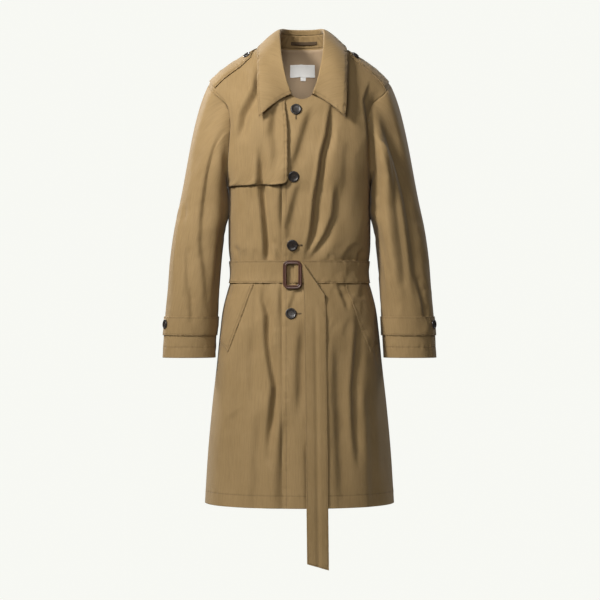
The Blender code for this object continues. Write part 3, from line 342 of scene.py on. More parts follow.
def bare(side, across, up):
    """The body without folds. across is -1 to 1 from the right seam to the left; up is 0
    at the hem, 1 at the chest line and 2 at the neckline and shoulder seams."""
    across, up = np.broadcast_arrays(np.asarray(across, float), np.asarray(up, float))
    low = ring(side, across, HEM + np.clip(up, 0, 1) * (CHEST - HEM))
    share = np.clip(up - 1, 0, 1)
    ends = np.sign(across) + (across == 0)
    wanted = armhole(side, share)
    wanted[..., 0] *= ends
    pulled = (np.abs(across) ** 4)[..., None] * (wanted - yoke(side, ends, share))
    return np.where((up <= 1)[..., None], low, yoke(side, across, share) + pulled)


def facing(side, across, up):
    """Unit vectors out of the body's surface without folds."""
    across = np.clip(across, -1 + 2 * TINY, 1 - 2 * TINY)
    up = np.clip(up, 2 * TINY, 1.94)
    over = bare(side, across + TINY, up) - bare(side, across - TINY, up)
    along = bare(side, across, up + TINY) - bare(side, across, up - TINY)
    return -side * unit(np.cross(over, along))


def level(height):
    """The up value of a height below the chest line."""
    return (height - HEM) / (CHEST - HEM)


BANK = (-1.0, 0.6, 2.2)             # a fold's steep side and its soft one, in half widths
LIP = (0.20, 1.5, 0.9)              # the low lip beside the steep side: height, place, width
FADE = 0.28                         # share of a fold's length over which each end fades


def sunk(folds, first, second):
    """How far folds sink the cloth. Each drops steeply on one side, the right one of its
    line for a negative width, rises softly on the other and fades at its two ends."""
    first, second = np.broadcast_arrays(first, second)
    total = np.zeros(np.shape(first))
    for width, depth, *line in folds:
        line = np.array(line)
        steps = np.linalg.norm(np.diff(line, axis=0), axis=1)
        best, place, aside, begun = np.full(np.shape(first), 1e3), 0.0, 0.0, 0.0
        for start, end, step in zip(line, line[1:], steps):
            way = (end - start) / step
            along = (first - start[0]) * way[0] + (second - start[1]) * way[1]
            near = np.clip(along, 0, step)
            away = np.hypot(first - start[0] - near * way[0], second - start[1] - near * way[1])
            cross = (second - start[1]) * way[0] - (first - start[0]) * way[1]
            closer = away < best
            place = np.where(closer, begun + near, place)
            aside = np.where(closer, np.sign(cross) * away, aside)
            best = np.minimum(away, best)
            begun += step
        share = place / begun
        reach = aside / width
        beyond = np.maximum(reach - BANK[1], 0)
        trough = ease(BANK[0], BANK[1], reach) * np.exp(-(beyond / BANK[2]) ** 2)
        trough = trough - LIP[0] * np.exp(-((reach + LIP[1]) / LIP[2]) ** 2)
        total += depth * ease(0, FADE, share) * ease(0, FADE, 1 - share) * trough
    return total


def scattered(seed, count, sides, heights, length, width, depth, lean):
    """Small creases of worn cloth, as folds with places, sizes and slants of their own."""
    draw = np.random.default_rng(seed)
    rows = []
    for _ in range(count):
        start = np.array([draw.uniform(*sides), draw.uniform(*heights)])
        slant = draw.normal(0, lean)
        run = length * draw.uniform(0.5, 1.6)
        way = np.array([math.sin(slant), -math.cos(slant)])
        bend = np.array([way[1], -way[0]]) * run * draw.uniform(-0.12, 0.12)
        size = draw.uniform(0.6, 1.5)
        sink = depth * draw.uniform(0.3, 1.0) * draw.choice([-0.7, 1.0, 1.0])
        rows.append((width * size, sink, start, start + way * run / 2 + bend, start + way * run))
    return rows


def small_creases(seed, top):
    """Creases all over a panel, up to a height, and shorter ones about the belt."""
    return (scattered(seed, 60, (-0.19, 0.19), (-1.04, top[0]),
                      length=0.080, width=0.0075, depth=0.0016, lean=0.45)
            + scattered(seed + 1, 60, (-0.15, 0.15), (top[1], -0.42),
                        length=0.045, width=0.0050, depth=0.0014, lean=0.25))


FOLDS = {1: [*BACK_FOLDS, *small_creases(11, (-0.10, -0.66))]}
CALM_TOP = (1.75, 1.98)             # up values between which the folds end at the seams
BELT_PRESS, PRESSED_SHARE = 0.027, 0.3   # half the height that the belt presses, and how far
ARMHOLE_REACH, ARMHOLE_LOW, ARMHOLE_HIGH = (0.86, 1.0), (0.86, 1.1), (1.9, 1.5)


def panel(side, across, up):
    """Outer points of a body panel with its folds, and the directions out of the cloth."""
    across, up = np.broadcast_arrays(np.asarray(across, float), np.asarray(up, float))
    point = bare(side, across, up)
    out = facing(side, across, up)
    sink = sunk(FOLDS[side], point[..., 0], point[..., 2])
    calm = (1 - np.abs(across) ** 8) * (1 - ease(*CALM_TOP, up))
    middle = (BELT_TOP + BELT_BOTTOM) / 2
    belted = np.exp(-((point[..., 2] - middle) / BELT_PRESS) ** 4)
    sink = sink * calm * (1 - belted) + np.maximum(sink, 0) * calm * belted * PRESSED_SHARE
    sink += (ARMHOLE_DIP * ease(*ARMHOLE_REACH, np.abs(across)) * ease(*ARMHOLE_LOW, up)
             * ease(*ARMHOLE_HIGH, up))
    outer = point - out * sink[..., None]
    at_side = (np.abs(across) > 0.999) & (up <= level(UNDERARM) + 1e-6)
    at_shoulder = (up > 1.999) & (np.abs(across) > NECK_SHARE - 0.001)
    out[..., 1] = np.where(at_side | at_shoulder, 0, out[..., 1])
    return outer, unit(out)


BESIDE = (-0.0045, -0.0030, -0.0015, 0.0, 0.0015, 0.0030, 0.0045)   # of a stitched line
NEAREST = 0.0010


def spread(length, step, close=()):
    """Distances from 0 to a length, about a step apart and closer beside the places named."""
    even = np.linspace(0, length, max(round(length / step), 1) + 1)
    beside = [place + off for place in close for off in BESIDE]
    keep = [0.0]
    for one in sorted([*even, *beside]):
        if one - keep[-1] > NEAREST and length - one > NEAREST:
            keep.append(one)
    return np.array([*keep, length])


def grid_across(lines, rows):
    """Across values of a panel's grid, row by row. lines lists its upright lines from right
    to left, each with the shares of the way to the next at which columns stand."""
    stops = [line(rows) for line, _ in lines]
    parts = [here[:, None] + (beyond - here)[:, None] * shares
             for (_, shares), here, beyond in zip(lines, stops, stops[1:])]
    return np.hstack([*parts, stops[-1][:, None]])


def constant(value):
    """A line of the grid that keeps one across value."""
    return lambda rows: np.full(len(rows), float(value))


ROWS = np.concatenate([
    level(HEM + spread(UNDERARM - HEM, STEP, (0, HEM_TURN))),
    level(UNDERARM + spread(CHEST - UNDERARM, STEP))[1:],
    1 + np.linspace(0, 0.975, YOKE_ROWS)[1:], [1.988, 2.0]])


def run_along(line):
    """Distances along a line of points from its first one."""
    return np.concatenate([[0], np.cumsum(np.linalg.norm(np.diff(line, axis=0), axis=1))])


def runs_of(grid, around=False):
    """Distances of a grid's points from its first column and first row, along its lines."""
    closed = np.concatenate([grid, grid[:, :1]], axis=1) if around else grid
    over = np.cumsum(np.linalg.norm(np.diff(closed, axis=1), axis=2), axis=1)
    up = np.cumsum(np.linalg.norm(np.diff(grid, axis=0), axis=2), axis=0)
    return np.pad(over, ((0, 0), (1, 0))), np.pad(up, ((1, 0), (0, 0)))


def add_piece(name, points, quads, finishes, corners=None, seam=None, sharp=75):
    """A mesh object from points and four-sided faces, smoothly shaded."""
    mesh = bpy.data.meshes.new(name)
    mesh.from_pydata(points.tolist(), [], quads.tolist())
    mesh.shade_smooth()
    mesh.set_sharp_from_angle(angle=math.radians(sharp))
    for finish in finishes:
        mesh.materials.append(finish)
    if corners is not None:
        mesh.uv_layers.new(name="cut").data.foreach_set("uv", corners.ravel())
    # seam marks where the cloth's finish paints shade into the pressed groove along stitched lines.
    if seam is not None:
        mesh.attributes.new("seam", "FLOAT", "POINT").data.foreach_set("value", seam)
    piece = bpy.data.objects.new(name, mesh)
    bpy.context.scene.collection.objects.link(piece)
    return piece


EDGE_ROUND, EDGE_MAP = 0.0003, 0.0009   # a wall's rounded edge, and its part of the map


def wall(name, outer, inner, finish, seam=None, around=False):
    """A closed wall of cloth between two grids of points, with a rounded edge and the flat
    cut as its map, in metres."""
    rows, columns = outer.shape[:2]
    last = columns if around else columns - 1
    layer = rows * columns
    over, up = runs_of(outer, around)
    if around:
        up = np.concatenate([up, up[:, :1]], axis=1)
    cut = np.stack([over - over[:, last // 2][:, None], up], -1)
    row, column = [one.ravel() for one in np.meshgrid(range(rows - 1), range(last),
                                                      indexing="ij")]
    places = [(row, column), (row, column + 1), (row + 1, column + 1), (row + 1, column)]
    face = np.stack([one * columns + other % columns for one, other in places], 1)
    corners = np.stack([cut[place] for place in places], 1)
    quads, maps = [face, face[:, ::-1] + layer], [corners, corners[:, ::-1]]
    over_all, up_all = np.arange(last + 1), np.arange(rows)
    if around:
        rims = [(0 * over_all, over_all), (0 * over_all + rows - 1, over_all[::-1])]
    else:
        rims = [(np.concatenate([0 * over_all, up_all[1:], 0 * over_all[1:] + rows - 1,
                                 up_all[-2::-1]]),
                 np.concatenate([over_all, 0 * up_all[1:] + last, over_all[-2::-1],
                                 0 * up_all[1:]]))]
    points = [outer.reshape(-1, 3), inner.reshape(-1, 3)]
    seam = np.zeros((rows, columns)) if seam is None else seam
    seams = [seam.ravel(), seam.ravel()]
    begun = 2 * layer
    for rim_row, rim_column in rims:
        at = rim_row[:-1], rim_column[:-1] % columns
        inside = (np.clip(at[0], 1, rows - 2),
                  at[1] if around else np.clip(at[1], 1, columns - 2))
        middle = (outer[at] + inner[at]) / 2
        points.append(middle + unit(outer[at] - outer[inside]) * EDGE_ROUND)
        seams.append(seam[at])
        edge = rim_row * columns + rim_column % columns
        mid = begun + np.arange(len(rim_row)) % (len(rim_row) - 1)
        flat = cut[rim_row, rim_column]
        for quad, off in (((edge[1:], edge[:-1], mid[:-1], mid[1:]), (0, 0, 1, 1)),
                          ((mid[1:], mid[:-1], edge[:-1] + layer, edge[1:] + layer),
                           (1, 1, 2, 2))):
            quads.append(np.stack(quad, 1))
            ends = (flat[1:], flat[:-1], flat[:-1], flat[1:])
            maps.append(np.stack([end + EDGE_MAP * step for end, step in zip(ends, off)], 1))
        begun += len(rim_row) - 1
    quads, maps, points = np.concatenate(quads), np.concatenate(maps), np.concatenate(points)
    middle = (rows // 2, columns // 2)
    right = outer[middle[0], middle[1] + 1] - outer[middle]
    ahead = outer[middle[0] + 1, middle[1]] - outer[middle]
    if np.cross(right, ahead) @ (outer[middle] - inner[middle]) < 0:
        quads, maps = quads[:, ::-1], maps[:, ::-1]
    return add_piece(name, points, quads, [finish], maps, np.concatenate(seams))


def line_on(outer, out, away, inset, edge):
    """The line on a grid that keeps a distance from one of its edges: points and normals."""
    both = np.concatenate([outer, out], axis=2)
    if edge in ("low", "high"):
        both, away = both.swapaxes(0, 1), away.T
    if edge in ("right", "high"):
        both, away = both[:, ::-1], away[:, ::-1]
    return np.array([[np.interp(inset, run, values[:, axis]) for axis in range(6)]
                     for values, run in zip(both, away)])


THREAD = 0.00024         # half the thickness of sewing thread
STITCH, PITCH = 0.0026, 0.0034
STITCH_RISE = 0.4        # how far a stitch's middle lies above the cloth, in thicknesses
STITCH_SECTIONS = ((-0.5, 0.35), (0.0, 1.0), (0.5, 0.35))   # share of its length and thickness
SIDES = ((1, 0), (0, 1), (-1, 0), (0, -1))                  # of a stitch: beside and above it


def sew(name, lines, finish, pitch=PITCH, length=STITCH, thick=THREAD):
    """Machine stitches along lines, each with how far it stops short of the line's ends."""
    points, quads = [], []
    for line, trim in lines:
        run = run_along(line[:, :3])
        at = np.arange(trim + pitch / 2, run[-1] - trim, pitch)
        if not len(at):
            continue
        here, ahead, behind = [np.stack([np.interp(at + off, run, line[:, axis])
                                         for axis in range(6)], 1)
                               for off in (0, length / 2, -length / 2)]
        way = unit(ahead[:, :3] - behind[:, :3])
        out = unit(here[:, 3:])
        side = unit(np.cross(out, way))
        for share, size in STITCH_SECTIONS:
            for first, second in SIDES:
                points.append(here[:, :3] + way * share * length + out * thick * STITCH_RISE
                              + (side * first + out * second) * thick * size)
        begun = sum(len(one) for one in quads) // 10 * 12
        own = begun + np.arange(len(at)) * 12
        for low, high in ((0, 4), (4, 8)):
            for corner in range(4):
                after = (corner + 1) % 4
                quads.append(np.stack([own + low + corner, own + low + after,
                                       own + high + after, own + high + corner], 1))
        quads.append(np.stack([own + 3, own + 2, own + 1, own], 1))
        quads.append(np.stack([own + 8, own + 9, own + 10, own + 11], 1))
        block = np.stack(points[-12:], 1).reshape(-1, 3)
        points[-12:] = [block]
    return add_piece(name, np.concatenate(points), np.concatenate(quads), [finish])


RIB, RIB_LEAN = 0.00062, 0.46       # spacing of the twill's ribs, and their slant in radians
RIB_SCALE = 0.314                   # a band texture's scale times the spacing of its bands


def gabardine(name, deep, main, pale):
    """Closely woven cotton twill: steep fine ribs, faint streaks of uneven yarn, cloudy
    colour, small crumples, and painted shade on the puckered, pressed cloth beside stitched lines."""
    made, tree, shader = shade(name, 0.80)
    cut = node(tree, "UVMap", {}, uv_map="cut")
    slanted = node(tree, "Mapping", {"Vector": cut, "Rotation": (0, 0, RIB_LEAN)})
    ribs = node(tree, "TexWave", {"Vector": slanted, "Scale": RIB_SCALE / RIB,
                                  "Distortion": 0.6, "Detail": 1.0}, 1)
    drawn = node(tree, "Mapping", {"Vector": cut, "Scale": (420.0, 22.0, 1.0)})
    streaks = node(tree, "TexNoise", {"Vector": drawn, "Scale": 1.0, "Detail": 3.0})
    clouds = node(tree, "TexNoise", {"Vector": cut, "Scale": 11.0, "Detail": 3.0,
                                     "Roughness": 0.6})
    crumple = node(tree, "TexNoise", {"Vector": cut, "Scale": 75.0, "Detail": 3.0,
                                      "Roughness": 0.55, "Distortion": 0.8})
    # Painted shade: the seam mask darkens the cloth along stitched lines, where the pressed groove
    # would fall in shade.
    seam = node(tree, "Attribute", {}, "Fac", attribute_name="seam")
    tone = mixed(tree, ranged(tree, clouds, start=0.32, end=0.68), main, pale)
    tone = mixed(tree, ranged(tree, streaks, start=0.42, end=0.80, high=0.30), tone, deep)
    tone = mixed(tree, ranged(tree, ribs, 0.16, 0.0), tone, deep)
    tone = mixed(tree, node(tree, "Math", {0: seam, 1: 0.42}, operation="MULTIPLY"), tone, deep)
    fine = bumped(tree, 0.35, 0.00012, ribs)
    connect(tree, shader, {
        "Base Color": tone, "Roughness": ranged(tree, crumple, 0.70, 0.86),
        "Specular IOR Level": 0.28, "Sheen Weight": 0.12, "Sheen Roughness": 0.45,
        "Normal": bumped(tree, 0.30, 0.0011, crumple, fine)})
    return made


def thread_finish(name, tone):
    """Twisted sewing thread."""
    made, tree, shader = shade(name, 0.6)
    fuzz = node(tree, "TexNoise", {"Scale": 900.0, "Detail": 1.0})
    connect(tree, shader, {"Base Color": mixed(tree, fuzz, tone, darker(tone, 0.6)),
                           "Normal": bumped(tree, 0.3, 0.0002, fuzz)})
    return made


KHAKI = gabardine("khaki_gabardine", (0.130, 0.078, 0.030), (0.270, 0.179, 0.077),
                  (0.303, 0.204, 0.092))
KHAKI_THREAD = thread_finish("khaki_thread", (0.240, 0.165, 0.080))
# Ripple and press of the cloth beside stitched lines; SEAM_REACH is also the width of the painted
# shade there.
PUCKER, PRESS, PUCKER_REACH, SEAM_REACH = 0.00030, 0.00040, 0.0060, 0.0011
PUCKER_LENGTHS = (0.013, 0.021, 0.034)
END_SHARE, END_LEAST = 0.9, 0.002   # a line stops short of its ends by a share of its inset


def tailor(name, outer, out, thick, stitched=(), finish=KHAKI, thread=KHAKI_THREAD,
           around=False):
    """Cloth pulled in and puckered along its stitched lines, as a wall, with its stitches and with
    a mask of painted shade along them.
    A stitched line is named by its edge (low, high, left, right) and its distance from it."""
    columns = outer.shape[1]
    over, up = runs_of(outer, around)
    far = {"left": over[:, :columns], "right": over[:, -1:] - over[:, :columns],
           "low": up, "high": up[-1:] - up}
    draw = np.random.default_rng(sum(map(ord, name)))
    seam = np.zeros(outer.shape[:2])
    shaped = outer.copy()
    for edge, inset in stitched:
        away = far[edge] - inset
        along = up if edge in ("left", "right") else over[:, :columns]
        wave = sum(np.sin(2 * math.pi * along / length + draw.uniform(0, 6))
                   for length in PUCKER_LENGTHS)
        near = np.exp(-(away / PUCKER_REACH) ** 2)
        # The pressed groove along the line; the same mask marks where the finish paints shade.
        pressed_and_shaded = np.exp(-(away / SEAM_REACH) ** 2)
        shaped += out * (PUCKER * near * wave - PRESS * pressed_and_shaded)[..., None]
        seam = np.maximum(seam, pressed_and_shaded)
    piece = wall(name, shaped, shaped - out * thick, finish, seam, around)
    lines = []
    for edge, inset in stitched:
        line = line_on(shaped, out, far[edge], inset, edge)
        if around:
            line = np.concatenate([line, line[:1]])
        lines.append((line, 0.0 if around else max(inset * END_SHARE, END_LEAST)))
    if not lines:
        return piece, None
    stitches = sew(name + "_stitches", lines, thread)
    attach(stitches, "root")
    return piece, stitches


def fit(piece, slot, *nodes):
    """The piece is fixed to the coat and stands for its solids, which are hidden; its slot is not
    used.
    """
    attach(piece, "root")
    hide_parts(*nodes)


def cloth(made, solid, slot="gabardine"):
    """Fixes a piece of cloth to the coat in place of its solid; its stitches were fixed where they
    were sewn.
    """
    piece, stitches = made
    fit(piece, slot, solid)


def body_panel(name, side, lines, stitched, sink=None):
    """One finished panel of the body, drawn back from its seams by half a gap."""
    across = grid_across(lines, ROWS)
    outer, out = panel(side, across, ROWS[:, None] + 0 * across)
    if sink is not None:
        outer = outer - out * sink(outer)[..., None]
    for end in (0, -1):
        outer[:, end] += unit(outer[:, 2 * end + 1] - outer[:, end]) * GAP / 2
    outer[-1] += unit(outer[-2] - outer[-1]) * GAP / 2
    cloth(tailor(name + "_cloth", outer, out, WALL, stitched), name)


def even(count):
    """Shares of the way to the next upright line, for evenly spaced columns."""
    return np.arange(count) / count


body_panel("back", 1, [(constant(-1), even(SHOULDER_COLUMNS)),
                       (constant(-NECK_SHARE), even(NECK_COLUMNS)),
                       (constant(NECK_SHARE), even(SHOULDER_COLUMNS)), (constant(1), None)],
           [("low", HEM_TURN)])

# ---- The fronts ---------------------------------------------------------------------
# Two fronts of the same gabardine. The wearer's left one closes over the right one, with
# a stitched edge and worked buttonholes. Deep creases run from the chest to the belt, and
# the skirts fall from it in soft, uneven folds.
CLOSING_EDGE, UNDERLAP_EDGE = -0.0410, 0.0200
CLOSING_STITCH = 0.0100
CHEST_COLUMNS = 26
UNDERLAP, UNDERLAP_MORE = 0.0027, 0.0045   # how far the lower front drops behind the upper one
UNDERLAP_SIDE = (-0.0490, -0.0405)   # x values between which it starts, at the upper one's edge
# Heights between which it starts to drop further, above the belt and on the skirt.
CHEST_DROP, SKIRT_DROP, HEM_RISE = (-0.43, -0.40), (-0.58, -0.66), (-1.06, -0.95)
FRONT_FOLDS = (
    # above the belt, on the wearer's right
    (0.0062, 0.0155, (-0.0950, -0.220), (-0.0925, -0.330), (-0.0865, -0.390), (-0.0820, -0.442),
     (-0.0770, -0.540)),
    (0.0045, 0.0040, (-0.0690, -0.440), (-0.0560, -0.470), (-0.0480, -0.512)),
    (0.0100, 0.0030, (-0.126, -0.317), (-0.119, -0.400), (-0.121, -0.480)),
    (0.0040, 0.0034, (-0.156, -0.458), (-0.150, -0.480), (-0.147, -0.511)),
    (0.0040, 0.0026, (-0.136, -0.466), (-0.132, -0.511)),
    (0.0045, 0.0022, (-0.111, -0.466), (-0.108, -0.511)),
    (0.0040, 0.0020, (-0.018, -0.471), (-0.020, -0.511)),
    # above the belt, on the wearer's left
    (0.0060, 0.0145, (0.0790, -0.100), (0.0655, -0.2018), (0.0535, -0.2465), (0.0477, -0.2911),
     (0.0372, -0.351), (0.0297, -0.4267), (0.0208, -0.4625), (0.0060, -0.5150)),
    (0.0062, 0.0080, (0.0877, -0.300), (0.0806, -0.389), (0.0619, -0.436), (0.0386, -0.471),
     (0.0120, -0.508)),
    (0.0100, 0.0078, (0.030, -0.125), (-0.0035, -0.2374), (-0.0230, -0.3000)),
    (0.0090, 0.0068, (0.0060, -0.300), (-0.0120, -0.352), (-0.0270, -0.412), (-0.0240, -0.460)),
    (0.0060, 0.0034, (0.060, -0.300), (0.0460, -0.380), (0.0330, -0.440)),
    (0.0120, 0.0034, (0.112, -0.170), (0.106, -0.290), (0.098, -0.390), (0.078, -0.470)),
    (0.0120, 0.0030, (0.135, -0.190), (0.136, -0.320), (0.124, -0.440)),
    (0.0060, 0.0046, (0.144, -0.452), (0.124, -0.462), (0.108, -0.484), (0.102, -0.512)),
    (0.0045, 0.0030, (0.120, -0.482), (0.118, -0.511)),
    (0.0050, 0.0050, (0.152, -0.462), (0.139, -0.480), (0.137, -0.511)),
    # at the shoulders, the armholes and the collar
    (0.0110, 0.0050, (-0.180, -0.066), (-0.168, -0.156), (-0.163, -0.300)),
    (0.0060, 0.0100, (0.171, -0.058), (0.155, -0.118), (0.161, -0.180), (0.164, -0.310)),
    (0.0060, 0.0070, (0.1190, 0.020), (0.1165, -0.080), (0.1130, -0.175)),
    (0.0075, 0.0150, (-0.094, -0.020), (-0.1040, -0.095), (-0.1344, -0.149), (-0.1480, -0.225)),
    (0.0130, 0.0080, (-0.066, -0.110), (-0.060, -0.210), (-0.054, -0.300)),
    (-0.0140, -0.0110, (0.156, -0.110), (0.160, -0.300), (0.153, -0.500)),
    (0.0080, 0.0034, (-0.057, -0.129), (-0.063, -0.172), (-0.074, -0.214)),
    (0.0140, 0.0026, (-0.088, -0.191), (-0.095, -0.307)),
    # the skirt, on the wearer's right
    (0.0070, 0.0145, (-0.0835, -0.515), (-0.0890, -0.5880), (-0.0783, -0.6230), (-0.0795, -0.6650),
     (-0.0783, -0.6955), (-0.0699, -0.7446), (-0.0610, -0.7890), (-0.0666, -0.8450),
     (-0.0743, -0.9010), (-0.0780, -0.9900)),
    (0.0050, 0.0046, (-0.0500, -0.580), (-0.0538, -0.6504), (-0.0566, -0.7250), (-0.0538, -0.7800)),
    (0.0045, 0.0030, (-0.0480, -0.552), (-0.0450, -0.600), (-0.0430, -0.640)),
    (0.0060, 0.0024, (-0.106, -0.555), (-0.106, -0.640)),
    (0.0070, 0.0018, (-0.085, -0.943), (-0.064, -0.976), (-0.039, -0.990)),
    (0.0170, 0.0085, (-0.132, -0.630), (-0.148, -0.752), (-0.165, -0.939), (-0.181, -1.112)),
    (0.0120, 0.0064, (-0.111, -0.620), (-0.118, -0.720), (-0.116, -0.860)),
    (0.0130, 0.0070, (-0.095, -0.820), (-0.106, -0.950), (-0.111, -1.112)),
    (0.0110, 0.0062, (-0.034, -0.822), (-0.046, -0.939), (-0.053, -1.112)),
    (0.0090, 0.0026, (-0.174, -0.532), (-0.172, -0.588)),
    # the skirt, on the wearer's left
    (0.0045, 0.0034, (-0.006, -0.552), (-0.015, -0.583), (-0.028, -0.620)),
    (0.0045, 0.0036, (0.0860, -0.532), (0.0950, -0.566), (0.1073, -0.5938), (0.1130, -0.622)),
    (0.0072, 0.0088, (0.1300, -0.590), (0.1367, -0.6504), (0.1311, -0.7250), (0.1251, -0.800),
     (0.1300, -0.900), (0.1380, -1.010)),
    (0.0060, 0.0060, (0.1800, -0.600), (0.1790, -0.640), (0.1790, -0.700), (0.1850, -0.760)),
    (0.0050, 0.0026, (0.150, -0.532), (0.141, -0.590)),
    (0.0100, 0.0070, (0.006, -0.630), (-0.001, -0.728), (-0.004, -0.869)),
    (0.0110, 0.0066, (0.083, -0.640), (0.085, -0.822), (0.092, -0.985), (0.097, -1.112)),
    (0.0130, 0.0064, (0.155, -0.760), (0.166, -0.880), (0.172, -1.112)),
    (0.0130, 0.0050, (0.186, -0.700), (0.196, -0.822), (0.205, -1.056)),
    (0.0090, 0.0050, (0.015, -0.900), (0.022, -1.112)),
)
FOLDS[-1] = [*FRONT_FOLDS, *small_creases(21, (-0.12, -0.64))]
OVERLAP_SHARES = spread(UNDERLAP_EDGE - CLOSING_EDGE, STEP, (0, CLOSING_STITCH))[:-1]
OVERLAP_SHARES = OVERLAP_SHARES / (UNDERLAP_EDGE - CLOSING_EDGE)


def across_at(side, x, height):
    """The across value of a place x on the level ring at a height below the chest line."""
    half = smooth(TORSO["height"], TORSO["half_width"], height)
    end = smooth(TORSO["height"], TORSO["front_end" if side < 0 else "back_end"], height)
    return np.arcsin(np.clip(x / half, -1, 1)) / np.radians(np.minimum(end, 90))


def edge_line(x):
    """A line of the grid that stands upright at x on the front."""
    def read(rows):
        return across_at(-1, x, HEM + np.minimum(rows, 1) * (CHEST - HEM))
    return read


def underlap(points):
    """How far the lower front drops behind the upper one, where the two overlap."""
    height = points[..., 2]
    more = ease(*CHEST_DROP, height) + ease(*SKIRT_DROP, height) * ease(*HEM_RISE, height)
    return (UNDERLAP + UNDERLAP_MORE * more) * ease(*UNDERLAP_SIDE, points[..., 0])


FRONT_LINES = [(constant(-1), even(SHOULDER_COLUMNS)),
               (constant(-NECK_SHARE), even(CHEST_COLUMNS)),
               (edge_line(CLOSING_EDGE), OVERLAP_SHARES),
               (edge_line(UNDERLAP_EDGE), even(CHEST_COLUMNS)),
               (constant(NECK_SHARE), even(SHOULDER_COLUMNS)), (constant(1), None)]
body_panel("front_right", -1, FRONT_LINES[:4], [("low", HEM_TURN)],
           underlap)
body_panel("front_left", -1, FRONT_LINES[2:], [("low", HEM_TURN), ("left", CLOSING_STITCH)])

# ---- The sleeves --------------------------------------------------------------------
# Two plain set-in sleeves, each a tube of gabardine sewn to its armhole and hemmed. They
# hang with a long fold down the front of the elbow and short ones in its bend.
SLEEVE_TOP, CUFF_END, CUFF_TURN = -0.3700, -0.7250, 0.0255
TURN_LENGTH = 0.0011     # length of one degree round a sleeve
CAP_ROWS, PLAIN_ROWS = 48, 20        # rows above SLEEVE_TOP, and those in which folds begin
# The way that the cloth leaves the armhole outside, and what is added towards its inside.
CAP_LEAVE, CAP_INSIDE, CAP_SIDE, CAP_PULL = (0.45, -0.89), (0.5, 1.1), -0.40, 0.8
HANDS = ((-1, "right"), (1, "left"))
SLEEVE = table("height centre_x half_width centre_y half_depth squareness", (
    (-0.3700, 0.2318, 0.0582, 0.0000, 0.0790, 2.1),
    (-0.4100, 0.2378, 0.0607, -0.0020, 0.0780, 2.1),
    (-0.4872, 0.2478, 0.0620, -0.0060, 0.0730, 2.1),
    (-0.5640, 0.2535, 0.0620, -0.0120, 0.0670, 2.1),
    (-0.6408, 0.2590, 0.0632, -0.0180, 0.0590, 2.1),
    (-0.7250, 0.2638, 0.0634, -0.0240, 0.0500, 2.1),
))
# Folds of each sleeve, as degrees round it (0 outside, 90 in front) and heights.
SLEEVE_FOLDS = {
    -1: ((0.0085, 0.0064, (66, -0.130), (84, -0.250), (92, -0.330), (95, -0.400), (99, -0.450),
          (110, -0.510), (118, -0.567), (118, -0.655)),
         (-0.0130, -0.0120, (116, -0.050), (126, -0.200), (133, -0.350), (133, -0.450),
          (136, -0.560), (136, -0.700)),
         (0.0070, 0.0040, (62, -0.430), (74, -0.520), (84, -0.620)),
         (0.0080, 0.0034, (36, -0.330), (46, -0.440), (52, -0.560)),
         (0.0050, 0.0026, (86, -0.560), (92, -0.655)),
         (0.0200, -0.0100, (140, -0.250), (142, -0.340), (142, -0.370), (138, -0.425)),
         (0.0100, 0.0060, (250, -0.420), (205, -0.500)),
         (0.0100, 0.0045, (240, -0.520), (300, -0.580)),
         (0.0140, 0.0040, (330, -0.300), (300, -0.450))),
    1: ((0.0130, -0.0170, (66, -0.030), (72, -0.120), (84, -0.214), (95, -0.296),
         (103, -0.366), (105, -0.448), (105, -0.541), (101, -0.640)),
        (-0.0140, 0.0130, (44, -0.060), (48, -0.120), (60, -0.214), (68, -0.296), (70, -0.366),
         (72, -0.448), (72, -0.541), (66, -0.630)),
        (-0.0060, 0.0040, (66, -0.520), (56, -0.580), (50, -0.650)),
        (-0.0080, 0.0032, (140, -0.420), (128, -0.520), (120, -0.630)),
        (0.0200, -0.0100, (140, -0.250), (142, -0.340), (142, -0.370), (138, -0.425)),
        (0.0100, 0.0060, (245, -0.410), (200, -0.500)),
        (0.0100, 0.0045, (300, -0.500), (240, -0.590))),
}
for hand, _ in HANDS:
    SLEEVE_FOLDS[hand] = [(width, depth, *[(turn * TURN_LENGTH, height) for turn, height in line])
                          for width, depth, *line in SLEEVE_FOLDS[hand]]
    SLEEVE_FOLDS[hand] += scattered(30 + hand, 60, (0.02, 0.37), (-0.68, -0.25), length=0.055,
                                    width=0.0065, depth=0.0015, lean=0.55)


def sleeve_ring(hand, turn, height):
    """Point of a sleeve's level ring; turn is 0 outside, 90 degrees in front."""
    turn, height = np.broadcast_arrays(turn, height)
    read = {key: smooth(-SLEEVE["height"], SLEEVE[key], -height) for key in SLEEVE}
    cosine, sine = np.cos(turn), np.sin(turn)
    size = (np.abs(cosine) ** read["squareness"] + np.abs(sine) ** read["squareness"])
    size = size ** (-1 / read["squareness"])
    return np.stack([hand * (read["centre_x"] + read["half_width"] * size * cosine),
                     read["centre_y"] - read["half_depth"] * size * sine, height], -1)


def armhole_loop(hand):
    """The panels' own armhole points, from the tip down the front and up the back, with the
    direction off the hole's edge and each point's turn."""
    up = ROWS[ROWS >= level(UNDERARM) - 1e-9]
    ends = np.full(len(up), float(hand))
    front, front_out = panel(-1, ends, up)
    rear, rear_out = panel(1, ends, up)
    outer = np.vstack([front[::-1], rear[1:-1]])
    out = np.vstack([front_out[::-1], rear_out[1:-1]])
    run = run_along(np.vstack([outer, outer[:1]]))
    turn = np.interp(run[:-1], [0, run[len(up) - 1], run[-1]], [0, math.pi, 2 * math.pi])
    ahead = np.roll(outer, -1, axis=0) - np.roll(outer, 1, axis=0)
    away = -hand * unit(np.cross(unit(ahead), out))
    return outer, away, turn


